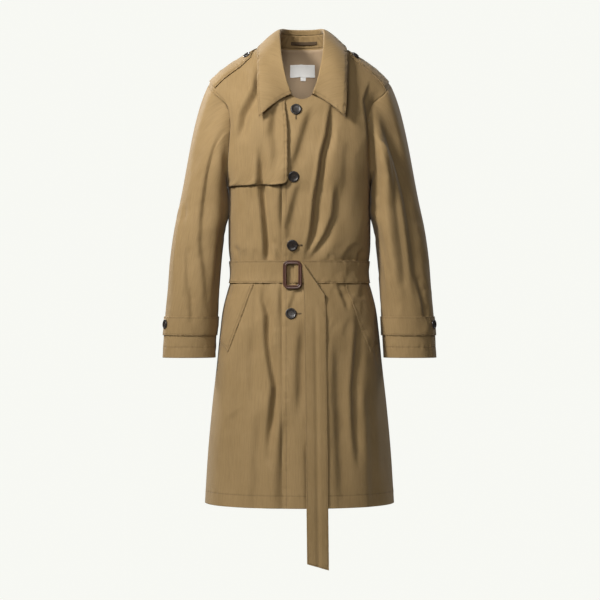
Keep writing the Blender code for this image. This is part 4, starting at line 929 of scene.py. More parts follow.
def sleeve(word, hand):
    """A sleeve from its armhole to its cuff."""
    start, away, turn = armhole_loop(hand)
    start = start + away * GAP
    seat = sleeve_ring(hand, turn, SLEEVE_TOP)
    below = sleeve_ring(hand, turn, SLEEVE_TOP - 0.01)
    inside = (1 - np.cos(turn)) / 2
    leave = unit(np.stack([hand * (CAP_LEAVE[0] + CAP_INSIDE[0] * inside),
                           CAP_SIDE * np.sin(turn), CAP_LEAVE[1] + CAP_INSIDE[1] * inside], -1))
    span = np.linalg.norm(seat - start, axis=1, keepdims=True)
    rows = [blend(start, leave * span * CAP_PULL, seat, unit(below - seat) * span, share)
            for share in np.linspace(0, 1, CAP_ROWS)[:-1]]
    length = SLEEVE_TOP - CUFF_END
    for height in SLEEVE_TOP - spread(length, STEP, (length - CUFF_TURN, length)):
        rows.append(sleeve_ring(hand, turn, height))
    outer = np.array(rows)
    round_it = np.roll(outer, -1, axis=1) - np.roll(outer, 1, axis=1)
    out = hand * unit(np.cross(round_it, np.gradient(outer, axis=0)))
    sink = sunk(SLEEVE_FOLDS[hand], np.degrees(turn)[None] * TURN_LENGTH, outer[..., 2])
    sink = sink * ease(0, PLAIN_ROWS, np.arange(len(outer)))[:, None]
    outer = outer - out * sink[..., None]
    cloth(tailor(f"sleeve_{word}_cloth", outer[::-1], out[::-1], WALL, [("low", CUFF_TURN)],
                 around=True),
          f"sleeve_{word}")


for hand, word in HANDS:
    sleeve(word, hand)

# ---- The storm flap -----------------------------------------------------------------
# A loose single flap over the wearer's right chest, caught in the neck, shoulder and
# armhole seams. Its free edge stands off the front, and its lower corner is rounded.
FLAP_SLANT = ((0.85, 2.0), (0.9, 0.3))   # its reach beyond the closing edge, by up value
FLAP_SEAM, FLAP_TOP = -0.982, 1.98       # across and up values of its sewn edges
FLAP_WIDE = 0.22
FLAP_CORNER, FLAP_TIP = 0.0140, 0.012    # height of its round corner and of its close rows
FLAP_STITCH, EDGE_STITCH = 0.0070, 0.0018
FLAP_OFF, FLAP_HANG, FLAP_REST = 0.0080, 0.45, 0.0006   # how far its free edges stand off
FLAP_RIPPLE, RIPPLE_TURN = 0.0016, 21
HANG_TOP, RIPPLE_TOP = -0.24, -0.20      # heights at which it lies flat again
LOOSE_EDGE, LOOSE_TOP, HANG_SIDE = (0.72, 1.0), (1.2, 1.9), (0.05, 0.3)


def overlay(name, side, across, up, lift, thick, stitched=(), **finishes):
    """A piece that lies on a body panel, made from the panel's points moved out."""
    base, out = panel(side, across, up)
    base = base + out * (lift + thick + 0 * across)[..., None]
    return tailor(name, base, out, thick, stitched, **finishes)


flap_rows = ROWS[ROWS >= level(UNDERARM) - 1e-9]
flap_rows = np.concatenate([level(UNDERARM + spread(FLAP_TIP, 0.002)), flap_rows[4:]])
flap_rows[-1] = FLAP_TOP
closing = edge_line(CLOSING_EDGE)(flap_rows)
slant = np.interp(flap_rows, *FLAP_SLANT) / 4
free_edge = closing + (edge_line(UNDERLAP_EDGE)(flap_rows) - closing) * slant
rise = np.clip(1 - (HEM + flap_rows * (CHEST - HEM) - UNDERARM) / FLAP_CORNER, 0, 1)
free_edge -= FLAP_CORNER / FLAP_WIDE * (1 - np.sqrt(1 - rise ** 2))
flap_shares = spread(FLAP_WIDE, STEP, (FLAP_WIDE, FLAP_WIDE - FLAP_STITCH)) / FLAP_WIDE
flap_across = FLAP_SEAM + (free_edge - FLAP_SEAM)[:, None] * flap_shares
flap_up = flap_rows[:, None] + 0 * flap_across
loose = ease(*LOOSE_EDGE, flap_shares) * (1 - ease(*LOOSE_TOP, flap_up))
hang = 1 - ease(level(UNDERARM), level(HANG_TOP), flap_up)
hang = hang * ease(*HANG_SIDE, flap_shares)
ripple = FLAP_RIPPLE * np.sin(flap_shares * RIPPLE_TURN + 1)
ripple = ripple * (1 - ease(level(UNDERARM), level(RIPPLE_TOP), flap_up))
flap_lift = (GAP + FLAP_REST + FLAP_OFF * np.maximum(loose, hang * FLAP_HANG)
             + np.maximum(ripple, 0))
cloth(overlay("storm_flap_cloth", -1, flap_across, flap_up, flap_lift, TRIM,
              [("right", FLAP_STITCH), ("low", FLAP_STITCH),
               ("right", EDGE_STITCH), ("low", EDGE_STITCH)]),
      "storm_flap")

# ---- The collar ---------------------------------------------------------------------
# A stand sewn to the neckline and a wide fall that rolls over it and lies on the
# shoulders, both of doubled gabardine. The fall is stitched twice along its edges.
COLLAR_ENDS = (-0.126, 0.0972)    # across values at which the collar's two ends are sewn
COLLAR_BACK = 0.42                # share of half the collar that lies on the back
COLLAR_ROLL = 0.0024
COLLAR_PUFF, PUFF_SPAN = 0.0050, (0.58, 0.80)   # how far each leaf is rounded out, and where
STAND_SHARE = 0.28                # height of the roll's seam below the fold, as a share
STAND_ROWS, ROLL_ROWS = 10, 8
STAND_PUCKER = 0.0005
ROLL_ANGLE = 130                  # degrees through which the roll turns
LEAF_LENGTH, LEAF_STEP, LEAF_DROP, LEAF_LEAVE = 0.085, 0.0035, 0.012, 0.9
POINT_START, POINT_PULL = 0.75, np.array([0, -0.001, 0.014])   # of the stand, at its ends
COLLAR_STEP, STAND_STITCH = 0.0095, 0.0020
FIRST_STITCH, SECOND_STITCH = 0.0015, 0.0065    # of the two lines along each free edge
COLLAR = table("share fold_x fold_y fold_z edge_x edge_y edge_z", (
    (0.00, 0.0000, 0.0620, 0.0665, 0.0000, 0.0930, 0.0130),
    (0.20, 0.0290, 0.0550, 0.0665, 0.0460, 0.0870, 0.0130),
    (0.36, 0.0450, 0.0340, 0.0650, 0.0840, 0.0600, 0.0160),
    (0.50, 0.0510, 0.0040, 0.0560, 0.1040, 0.0120, 0.0220),
    (0.64, 0.0505, -0.0420, 0.0270, 0.1070, -0.0500, -0.0060),
    (0.78, 0.0460, -0.0840, -0.0200, 0.1055, -0.0950, -0.0600),
    (0.90, 0.0350, -0.1110, -0.0720, 0.1045, -0.1220, -0.1120),
    (1.00, 0.0235, -0.1220, -0.1050, 0.1010, -0.1370, -0.1600),
))


def collar_line(shares, which):
    """The collar's fold or outer edge at each share, -1 to 1."""
    rows = np.stack([COLLAR[f"{which}_{axis}"] for axis in "xyz"], -1)
    mirrored = rows[:0:-1] * np.array([-1, 1, 1])
    knots = np.concatenate([-COLLAR["share"][:0:-1], COLLAR["share"]])
    line = smooth(knots, np.vstack([mirrored, rows]), shares)
    return line + np.array([NECK_SHIFT, 0, 0])


def lines_along(edges, *insets):
    """Stitched lines at the same insets along each of the named edges."""
    return [(edge, inset) for edge in edges.split() for inset in insets]


def neckline(shares):
    """The panels' own neckline points where the collar is sewn, outer and inner, and the
    direction off their edge."""
    reach = np.abs(shares)
    gone = np.clip((reach - COLLAR_BACK) / (1 - COLLAR_BACK), 0, 1)
    last = np.where(shares < 0, -COLLAR_ENDS[0], COLLAR_ENDS[1])
    across = np.where(reach <= COLLAR_BACK, reach / COLLAR_BACK * NECK_SHARE,
                      NECK_SHARE - gone * (NECK_SHARE - last)) * np.sign(shares)
    top = np.full(len(shares), 2.0)
    front, back_of = panel(-1, across, top), panel(1, across, top)
    behind = (reach <= COLLAR_BACK)[:, None]
    outer = np.where(behind, back_of[0], front[0])
    inner = outer - np.where(behind, back_of[1], front[1]) * WALL
    off = unit(np.cross(unit(np.gradient(outer, axis=0)), unit(outer - inner)))
    above = np.array([NECK_SHIFT, -0.02, 0.10])
    return outer, inner, off * np.sign(np.sum(off * (above - outer), axis=1, keepdims=True))


half_collar = spread(1.0, COLLAR_STEP, (0, 0.0015, 0.006))
collar_shares = np.concatenate([half_collar - 1, 1 - half_collar[::-1][1:]])
foot, foot_in, foot_off = neckline(collar_shares)
fold, edge = collar_line(collar_shares, "fold"), collar_line(collar_shares, "edge")
sewn = (foot + foot_in) / 2
ahead = unit(np.gradient(fold, axis=0))
rise = ease(POINT_START, 1.0, np.abs(collar_shares))[:, None] * POINT_PULL
rise = fold - sewn + rise
rise = rise - ahead * np.sum(rise * ahead, axis=1, keepdims=True)
tall = np.linalg.norm(rise, axis=1, keepdims=True)
rise = unit(rise)
seam_line = fold - rise * np.maximum(tall * STAND_SHARE, COLLAR_ROLL + TRIM)
away = unit(np.cross(ahead, rise))
away *= np.sign(np.sum(away * (edge - fold), axis=1, keepdims=True))

stand_rows = []
stand_top = seam_line - rise * GAP
for share in np.linspace(0, 1, STAND_ROWS):
    stand_rows.append((sewn + foot_off * GAP) * (1 - share) + stand_top * share)
stand_grid = np.array(stand_rows)
stand_pucker = STAND_PUCKER * np.sin(np.arange(len(collar_shares)) * 0.9)
stand_pucker = stand_pucker * np.sin(np.linspace(0, math.pi, STAND_ROWS))[:, None]
stand_out = away + 0 * stand_grid
stand_face = stand_grid + stand_out * (TRIM / 2 + stand_pucker[..., None])
keep = slice(3, -3)
cloth(tailor("collar_stand_cloth", stand_face[:, keep], stand_out[:, keep], TRIM,
             lines_along("high low", STAND_STITCH)),
      "collar_stand")

fall_rows, fall_out = [], []
for share in np.linspace(0, 1, 4)[:-1]:
    fall_rows.append(seam_line + (fold - rise * COLLAR_ROLL - seam_line) * share)
    fall_out.append(-away)
roll_centre = fold - rise * COLLAR_ROLL + away * COLLAR_ROLL
for angle in np.radians(np.linspace(0, ROLL_ANGLE, ROLL_ROWS)):
    spoke = -away * math.cos(angle) + rise * math.sin(angle)
    fall_rows.append(roll_centre + spoke * COLLAR_ROLL)
    fall_out.append(spoke)
rolled = len(fall_rows)
start = fall_rows[-1]
span = np.linalg.norm(edge - start, axis=1, keepdims=True)
leave = unit(away * math.sin(math.radians(ROLL_ANGLE)) - rise * 0.64)
arrive = unit(edge - start + np.array([0, 0, -LEAF_DROP]))
for share in spread(LEAF_LENGTH, LEAF_STEP, (0.085, 0.0835, 0.079))[1:] / LEAF_LENGTH:
    fall_rows.append(blend(start, leave * span * LEAF_LEAVE, edge, arrive * span, share))
fall_grid = np.array(fall_rows)
puff = COLLAR_PUFF * np.sin(np.linspace(0, math.pi, len(fall_rows) - rolled + 1))[:, None]
puff = puff * ease(*PUFF_SPAN, np.abs(collar_shares))
outward = unit(np.cross(edge - start, np.gradient(edge, axis=0)))
outward *= np.sign(np.sum(outward * ((edge + start) / 2 - [0, 0.03, -0.12]), axis=1))[:, None]
fall_grid[rolled - 1:] += puff[..., None] * outward
fall_normal = unit(np.cross(np.gradient(fall_grid, axis=1), np.gradient(fall_grid, axis=0)))
fall_normal *= np.sign(np.sum(fall_normal[rolled - 2] * rise)) or 1
fall_normal[:rolled] = np.array(fall_out)
cloth(tailor("collar_fall_cloth", fall_grid + fall_normal * TRIM / 2, fall_normal, TRIM,
             lines_along("high left right", FIRST_STITCH, SECOND_STITCH)),
      "collar_fall")

# ---- The neck lining, the hanger loop and the label ---------------------------------
# Inside the back of the neck a greyer cotton lining backs the cloth, with a bare white
# woven label and its small tab sewn on it. A dark woven tape to hang the coat by is
# caught at both ends inside the stand.
LINING_WALL, LABEL_WALL, TAPE_WALL = 0.0012, 0.0006, 0.0010
LINING_SPAN, LINING_LOW, LINING_TOP = 0.6, 1.16, 0.012
LINING_CUT, LINING_AREA, LINING_STITCH = (0.40, 0.19), 0.042, 0.0080
LINING_ROWS, LINING_COLUMNS = 34, 80
LABEL_EDGES = (-0.0239, 0.0388, -0.0427, -0.0131)
TAB_EDGES = (0.0037, 0.0144, -0.0513, -0.0430)
LABEL_CLEAR, LABEL_STITCH, TAPE_STITCH = 0.0026, 0.0012, 0.0030
TAPE_SPAN, TAPE_HEIGHTS, TAPE_BOW = (-0.0207, 0.0425), (0.0317, 0.0389), 0.0018
TAPE_COLUMNS, TAPE_ROWS = 40, 7


def plain_weave(name, tone, spacing, roughness):
    """A flat cloth of crossed yarns."""
    made, tree, shader = shade(name, roughness)
    cut = node(tree, "UVMap", {}, uv_map="cut")
    yarns = {"Vector": cut, "Scale": RIB_SCALE / spacing, "Distortion": 0.3}
    weft = node(tree, "TexWave", yarns, 1, bands_direction="Y")
    warp = node(tree, "TexWave", yarns, 1, bands_direction="X")
    crossed = node(tree, "Math", {0: weft, 1: warp}, operation="MULTIPLY")
    clouds = node(tree, "TexNoise", {"Vector": cut, "Scale": 40.0, "Detail": 3.0})
    dark = darker(tone, 0.62)
    woven = mixed(tree, ranged(tree, crossed, high=0.22), tone, dark)
    fine = bumped(tree, 0.4, 0.00015, crossed)
    connect(tree, shader, {
        "Base Color": mixed(tree, ranged(tree, clouds, high=0.30), woven, dark),
        "Specular IOR Level": 0.25, "Normal": bumped(tree, 0.25, 0.0008, clouds, fine)})
    return made


LINING = plain_weave("neck_lining_cotton", (0.345, 0.248, 0.156), 0.0006, 0.75)
LABEL = plain_weave("label_satin", (0.86, 0.85, 0.82), 0.0004, 0.6)
TAPE = plain_weave("hanger_tape", (0.085, 0.055, 0.030), 0.0009, 0.7)
WHITE_THREAD = thread_finish("white_thread", (0.80, 0.79, 0.75))

lining_up = np.concatenate([np.linspace(LINING_LOW, 1.94, LINING_ROWS), [1.96, 2 - LINING_TOP]])
lining_across, lining_up = np.meshgrid(np.linspace(-LINING_SPAN, LINING_SPAN, LINING_COLUMNS),
                                       lining_up)
cloth(overlay("back_neck_lining_cloth", 1, lining_across, lining_up,
              -(WALL + GAP + 2 * LINING_WALL), LINING_WALL, [("high", LINING_STITCH)],
              finish=LINING),
      "back_neck_lining", "lining")


FIND_STEP, FIND_MOST, FIND_TIMES = 0.002, 0.15, 25   # of the search: step, longest move, moves


def find(side, x, z):
    """The across and up values of the place on a panel that shows at x and z."""
    at = np.array([x / 0.2, min(max(level(z), 0.02), 1.6)])
    for _ in range(FIND_TIMES):
        here = bare(side, *at)[[0, 2]]
        slopes = [(bare(side, *(at + step))[[0, 2]] - here) / FIND_STEP
                  for step in np.eye(2) * FIND_STEP]
        move = np.linalg.solve(np.column_stack(slopes), np.array([x, z]) - here)
        at = np.clip(at + np.clip(move, -FIND_MOST, FIND_MOST), (-0.98, 0.01), (0.98, 1.98))
    return at


def on_lining(name, edges, rows, columns, stitched):
    """A flat woven piece sewn on the lining, from a few places found on it."""
    left, right, low, high = edges
    places = np.array([[find(1, x, z) for x in np.linspace(left, right, 5)]
                       for z in np.linspace(low, high, 3)])
    down, over = np.linspace(0, 2, rows), np.linspace(0, 4, columns)
    columns_at = np.array([[np.interp(down, range(3), places[:, k, axis]) for k in range(5)]
                           for axis in (0, 1)])
    across, up = [np.array([np.interp(over, range(5), row) for row in one.T])
                  for one in columns_at]
    depth = WALL + GAP + LINING_WALL + GAP + LABEL_WALL + LABEL_CLEAR
    made = overlay(name + "_cloth", 1, across, up, -depth, LABEL_WALL, stitched, finish=LABEL,
                   thread=WHITE_THREAD)
    cloth(made, name, slot="label")


on_lining("label", LABEL_EDGES, 18, 34, lines_along("low high", LABEL_STITCH))
on_lining("label_tab", TAB_EDGES, 8, 9, [])

inside_stand = (stand_grid - stand_out * TRIM / 2)[:, keep]
rear_stand = inside_stand[:, inside_stand[0, :, 1] > 0.02]
tape_x = np.linspace(*TAPE_SPAN, TAPE_COLUMNS)
tape_rows = []
for z in np.linspace(*TAPE_HEIGHTS, TAPE_ROWS):
    found = []
    for one in tape_x:
        ys = [np.interp(one, row[:, 0], row[:, 1]) for row in rear_stand]
        zs = [np.interp(one, row[:, 0], row[:, 2]) for row in rear_stand]
        found.append((one, np.interp(z, zs, ys), z))
    tape_rows.append(found)
tape_base = np.array(tape_rows)
slope_x = np.gradient(tape_base[..., 1], tape_x, axis=1)
inward = unit(np.stack([slope_x, -np.ones_like(slope_x), 0 * slope_x], -1))
bow = 2 * GAP + TAPE_BOW * np.sin(np.linspace(0, math.pi, TAPE_COLUMNS)) ** 0.7
tape_face = tape_base + inward * (bow + TAPE_WALL)[None, :, None]
hanger = tailor("hanger_loop_tape", tape_face, inward, TAPE_WALL,
                lines_along("left right", TAPE_STITCH), TAPE)
cloth(hanger, "hanger_loop", slot="tape")

# ---- The epaulettes -----------------------------------------------------------------
# A doubled strap over each shoulder, caught in the sleeve seam and buttoned beside the
# collar. The right one also lies on the storm flap.
EPAULETTE_ALONG = (0.965, 0.580)  # across values of its sleeve end and its free end
# Its widths in front of the shoulder seam at those two ends, and behind the seam.
EPAULETTE_WIDTHS = {"right": (0.044, 0.053, 0.004), "left": (0.040, 0.040, 0.010)}
EPAULETTE_ROW, EPAULETTE_COLUMNS, RIDGE_STEPS = 0.045, 34, 61
EPAULETTE_STITCH, EPAULETTE_REST = 0.006, 0.0006
OVER_FLAP = 0.0014                # clear of the flap, on top of its cloth


def from_ridge(side, across, widths, shares):
    """The up values of the places at shares of a width below the shoulder seam, for each
    across, row by row."""
    steps = np.linspace(2, 1.2, RIDGE_STEPS)
    found = []
    for one, width in zip(across, widths):
        line = panel(side, np.full(RIDGE_STEPS, one), steps)[0]
        found.append(np.interp(shares * width, run_along(line), steps))
    return np.array(found).T


def epaulette(word, hand):
    """One shoulder strap, from its front edge over the seam to its back edge."""
    outside, inside, behind = EPAULETTE_WIDTHS[word]
    along = hand * np.linspace(*EPAULETTE_ALONG, EPAULETTE_COLUMNS)
    wide = np.linspace(outside, inside, EPAULETTE_COLUMNS)
    shares = spread(EPAULETTE_ROW, STEP, (EPAULETTE_ROW, 0.039)) / EPAULETTE_ROW
    front_up = from_ridge(-1, along, wide, shares[::-1])
    rear_up = from_ridge(1, along, np.full(EPAULETTE_COLUMNS, behind), np.linspace(0, 1, 4)[1:])
    front_points, front_out = panel(-1, along[None] + 0 * front_up, np.minimum(front_up, 2))
    rear_points, rear_out = panel(1, along[None] + 0 * rear_up, rear_up)
    base = np.concatenate([front_points, rear_points])
    out = np.concatenate([front_out, rear_out])
    lift = np.full((len(base), 1, 1), GAP + EPAULETTE_REST + TRIM)
    if word == "right":
        on_flap = np.clip(len(base) - 1 - np.arange(len(base)), 0, 3)
        lift += (TRIM + OVER_FLAP) * on_flap[:, None, None] / 3
    cloth(tailor(f"epaulette_{word}_cloth", base + out * lift, out, TRIM,
                 lines_along("low high right", FIRST_STITCH, EPAULETTE_STITCH)),
          f"epaulette_{word}")


for hand, word in HANDS:
    epaulette(word, hand)

# ---- The belt, its free end and the buckle ------------------------------------------
# A belt of doubled gabardine drawn round the waist, stitched along both edges. Its free
# end passes under the leather buckle, folds over on itself and hangs in front.
BELT_COLUMNS, BELT_STITCH = 150, 0.0030
BELT_WALL, BELT_OFF, BELT_FACE = 0.0018, 0.0004, 0.0022   # its cloth, its rest and its face
TAIL_START, TAIL_WIDE, TAIL_HANG = -0.0120, 0.055, 0.68
TAIL_INSET, TAIL_LOW = 0.0002, 0.0515    # below the belt's top, and its height on the belt
TAIL_FOLD = np.array(((0.0078, -0.5010), (0.0610, -0.5790)))   # the fold's ends, as x and z
TAIL_TURN, TURN_ANGLES = 0.0017, (-65, 90)   # radius of the bend, and degrees it turns through
FOLD_ROWS, BEND_ROWS = 12, 8
TAIL_END, TAIL_SLANT = -1.1998, 0.0152   # its left corner, and how much lower the right is
# The x of its two edges where it hangs, by how far down they are.
TAIL_LEFT = ((0.501, 0.548, 1.200), (0.0085, 0.0105, 0.0179))
TAIL_RIGHT = ((0.579, 1.215), (0.0610, 0.0682))
TAIL_OFF = 0.0040                        # how far it hangs off the front
TAIL_CURL, CURL_AT, CURL_WIDE = 0.0022, 0.52, 0.09   # a soft ridge down the hanging end
TAIL_SWAY, SWAY_TURN = 0.0030, 9.0
BELT_FOLDS = scattered(41, 46, (-0.16, 0.16), (-0.545, -0.500), length=0.030, width=0.0060,
                       depth=0.0008, lean=0.9)

belt_rows = level(BELT_BOTTOM + spread(BELT_TOP - BELT_BOTTOM, STEP, (0, 0.003, 0.052, 0.049)))
belt_across = np.linspace(-1, 1, BELT_COLUMNS)
belt_points, belt_out = [], []
for side, across in ((-1, belt_across), (1, belt_across[1:-1][::-1])):
    places = across[None] + 0 * belt_rows[:, None]
    heights = belt_rows[:, None] + 0 * places
    base = bare(side, places, heights)
    out = facing(side, places, heights)
    out[..., 2] = 0
    out = unit(out)
    belt_points.append(base - out * sunk(BELT_FOLDS, base[..., 0], base[..., 2])[..., None])
    belt_out.append(out)
belt_points, belt_out = np.concatenate(belt_points, axis=1), np.concatenate(belt_out, axis=1)
cloth(tailor("belt_cloth", belt_points + belt_out * (GAP + BELT_OFF + BELT_WALL), belt_out,
             BELT_WALL, lines_along("low high", BELT_STITCH), around=True),
      "belt")


def front_y(x, z):
    """The y of the front's surface without folds, at a place below the chest line."""
    z = z + 0 * x
    return ring(-1, across_at(-1, x, z), z)[..., 1]


tail_shares = spread(TAIL_WIDE, STEP, (0, 0.003, 0.055, 0.052)) / TAIL_WIDE
tail_fold = TAIL_FOLD[0] + (TAIL_FOLD[1] - TAIL_FOLD[0]) * tail_shares[:, None]
fold_way = (TAIL_FOLD[1] - TAIL_FOLD[0]) / np.linalg.norm(TAIL_FOLD[1] - TAIL_FOLD[0])
beyond = np.array([-fold_way[1], 0, fold_way[0]])
tail_rows, tail_given = [], []
# From under the buckle to the fold, with its outside against the belt.
for way in np.linspace(0, 1, FOLD_ROWS):
    x = TAIL_START + (tail_fold[:, 0] - TAIL_START) * way
    z = BELT_TOP - TAIL_INSET - TAIL_LOW * tail_shares
    z = z + (tail_fold[:, 1] - z) * ease(0.4, 1.0, way)
    on_belt = front_y(x, np.full_like(x, BELT_BOTTOM)) - GAP - BELT_FACE
    nearest = np.minimum(on_belt, front_y(x, z - STEP))
    tail_rows.append(np.stack([x, nearest - GAP - BELT_OFF - TRIM / 2, z], -1))
    tail_given.append(np.tile([0.0, 1.0, 0.0], (len(x), 1)))
flat_y = min(row[:, 1].min() for row in tail_rows)
for row, way in zip(tail_rows, np.linspace(0, 1, FOLD_ROWS)):
    row[:, 1] += (flat_y - row[:, 1]) * (0.3 + 0.7 * ease(0, 0.4, way))
# Round the fold.
turn_at = tail_rows[-1] - beyond * TAIL_TURN - np.array([0, TAIL_TURN, 0])
tail_rows[-1] = turn_at + np.array([0, TAIL_TURN, 0])
for angle in np.radians(np.linspace(*TURN_ANGLES, BEND_ROWS)):
    spoke = beyond * math.cos(angle) - np.array([0, math.sin(angle), 0])
    tail_rows.append(turn_at + spoke * TAIL_TURN)
    tail_given.append(np.tile(spoke, (len(tail_shares), 1)))
# Down the front to the slanted tip.
begin = tail_rows[-1]
lowest = TAIL_END - TAIL_SLANT * tail_shares
turned_rows = len(tail_rows)
for share in spread(TAIL_HANG, 0.0055, (0.68, 0.677))[1:] / TAIL_HANG:
    z = begin[:, 2] + (lowest - begin[:, 2]) * share
    left = np.interp(-z, *TAIL_LEFT)
    right = np.interp(-z, *TAIL_RIGHT)
    x = left + (right - left) * tail_shares
    x = begin[:, 0] + (x - begin[:, 0]) * ease(0, 0.07, share)
    way = ease(0.0, 0.06, begin[:, 2] - z)
    hang_y = np.minimum(front_y(x, np.maximum(z, HEM)) - TAIL_OFF, begin[:, 1])
    y = begin[:, 1] + (hang_y - begin[:, 1]) * way
    curl = TAIL_CURL * np.exp(-((tail_shares - CURL_AT) / CURL_WIDE) ** 2)
    curl = curl * ease(0.05, 0.2, share)
    sway = TAIL_SWAY * math.sin(share * SWAY_TURN) * (tail_shares - 0.5) * ease(0.05, 0.3, share)
    tail_rows.append(np.stack([x, y + curl + sway, z], -1))
    tail_given.append(np.tile([0.0, -1.0, 0.0], (len(x), 1)))
tail_grid, tail_given = np.array(tail_rows), np.array(tail_given)
tail_out = unit(np.cross(np.gradient(tail_grid, axis=1), np.gradient(tail_grid, axis=0)))
tail_out *= np.sign(np.sum(tail_out * tail_given, axis=-1, keepdims=True))
tail_out[FOLD_ROWS:turned_rows] = tail_given[FOLD_ROWS:turned_rows]
cloth(tailor("belt_tail_cloth", tail_grid + tail_out * TRIM / 2, tail_out, TRIM,
             lines_along("left right high", BELT_STITCH)),
      "belt_tail")

BUCKLE_SIZE, BUCKLE_CORNER = (0.0445, 0.0665), 0.0090
BUCKLE_BAR, BUCKLE_THICK, CORNER_STEPS = 0.0085, 0.0050, 12
# The bar's section, as shares of its half width and half thickness, with a shallow groove
# along its face between two rounded lips.
BUCKLE_SECTION = ((1.0, 0.0), (0.96, 0.55), (0.80, 0.95), (0.52, 1.0), (0.24, 0.70),
                  (0.0, 0.58), (-0.24, 0.70), (-0.52, 1.0), (-0.80, 0.95), (-0.96, 0.55),
                  (-1.0, 0.0), (-0.90, -0.70), (-0.55, -1.0), (0.0, -1.0), (0.55, -1.0),
                  (0.90, -0.70))


def leather(name, tone, edge_tone):
    """Smooth dyed leather: fine pores, uneven dye and a slight polish."""
    made, tree, shader = shade(name, 0.42)
    place = node(tree, "TexCoord", {}, "Object")
    pores = node(tree, "TexVoronoi", {"Vector": place, "Scale": 1500.0})
    dye = node(tree, "TexNoise", {"Vector": place, "Scale": 160.0, "Detail": 3.0})
    connect(tree, shader, {
        "Base Color": mixed(tree, dye, tone, edge_tone),
        "Roughness": ranged(tree, dye, 0.30, 0.55), "Coat Weight": 0.15,
        "Coat Roughness": 0.3, "Normal": bumped(tree, 0.35, 0.0002, pores)})
    return made


LEATHER = leather("brown_leather", (0.050, 0.016, 0.008), (0.080, 0.028, 0.015))


def axes_of(name):
    """The corners of a flat solid, its middle and the direction out of the coat."""
    points = np.array([point.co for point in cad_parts[name].data.vertices])
    out = np.linalg.svd(points - points.mean(axis=0), full_matrices=False)[2][2]
    middle = (points.min(axis=0) + points.max(axis=0)) / 2
    out = out * np.sign(out @ (middle - np.array([0, 0, middle[2] - 0.05])))
    return points, middle, out


_, buckle_place, buckle_out = axes_of("buckle")
buckle_out = unit(buckle_out * np.array([1, 1, 0]))
buckle_right = np.array([-buckle_out[1], buckle_out[0], 0])
half_x, half_z = BUCKLE_SIZE[0] / 2, BUCKLE_SIZE[1] / 2
hub = np.array([half_x, half_z]) - BUCKLE_BAR / 2 - BUCKLE_CORNER
rings = []
for quarter, (sign_x, sign_z) in enumerate(((1, 1), (-1, 1), (-1, -1), (1, -1))):
    for step in range(CORNER_STEPS):
        angle = math.pi / 2 * (quarter + step / (CORNER_STEPS - 1))
        ray = buckle_right * math.cos(angle) + np.array([0, 0, math.sin(angle)])
        centre = (buckle_place + buckle_right * sign_x * hub[0]
                  + np.array([0, 0, sign_z * hub[1]]))
        rings.append([centre + ray * (BUCKLE_CORNER + BUCKLE_BAR / 2 * wide)
                      + buckle_out * BUCKLE_THICK / 2 * high for wide, high in BUCKLE_SECTION])
rings = np.array(rings)
count, sides = rings.shape[:2]
turn, around = [one.ravel() for one in np.meshgrid(range(count), range(sides), indexing="ij")]
quads = np.stack([turn * sides + around, turn * sides + (around + 1) % sides,
                  (turn + 1) % count * sides + (around + 1) % sides,
                  (turn + 1) % count * sides + around], 1)
buckle = add_piece("buckle_leather", rings.reshape(-1, 3), quads, [LEATHER])
fit(buckle, "leather", "buckle")

# ---- The cuff straps ----------------------------------------------------------------
# A doubled strap round each cuff, sewn in at the back of the forearm, with a pointed end
# that buttons on the outside.
STRAP_HEIGHTS = (-0.6720, -0.6276)
STRAP_START, STRAP_TIP, STRAP_POINT = 215.0, -21.0, 7.0
STRAP_CUT, STRAP_ROW = (0.048, 0.27), 0.26
STRAP_OFF, STRAP_SINK = 0.0005, 0.0015   # its gap, and how far it follows the sleeve's folds


def cuff_strap(word, hand):
    """One strap, from its sewn end over the front of the cuff to its pointed end."""
    height = STRAP_HEIGHTS[0] + spread(STRAP_HEIGHTS[1] - STRAP_HEIGHTS[0], STEP,
                                       (0, 0.003, 0.0444, 0.0414))
    tilt = np.abs(np.linspace(-1, 1, len(height)))
    shares = spread(STRAP_ROW, STEP, (STRAP_ROW, 0.257)) / STRAP_ROW
    end = STRAP_TIP + STRAP_POINT * tilt
    turn = np.radians(STRAP_START + (end[:, None] - STRAP_START) * shares)
    heights = height[:, None] + 0 * turn
    ring_at = sleeve_ring(hand, turn, heights)
    over = sleeve_ring(hand, turn + 0.01, heights) - sleeve_ring(hand, turn - 0.01, heights)
    along = sleeve_ring(hand, turn, heights + 0.002) - sleeve_ring(hand, turn, heights - 0.002)
    out = -hand * unit(np.cross(over, along))
    sink = sunk(SLEEVE_FOLDS[hand], np.degrees(turn) % 360 * TURN_LENGTH, heights)
    face = ring_at + out * (GAP + STRAP_OFF + TRIM - np.minimum(sink, STRAP_SINK))[..., None]
    cloth(tailor(f"cuff_strap_{word}_cloth", face, out, TRIM,
                 lines_along("low high right", BELT_STITCH)),
          f"cuff_strap_{word}")


for hand, word in HANDS:
    cuff_strap(word, hand)

# ---- The pocket welts ---------------------------------------------------------------
# Slanted bands over the pocket openings, stitched twice on their inner edges, with a
# sloping lower end.
WELT = np.array(((0.1080, -0.5510), (0.1676, -0.7110), (0.1880, -0.6880), (0.1587, -0.5510)))
WELT_LONG, WELT_WIDE, WELT_WALL, WELT_OFF = 0.17, 0.04, 0.0010, 0.0003


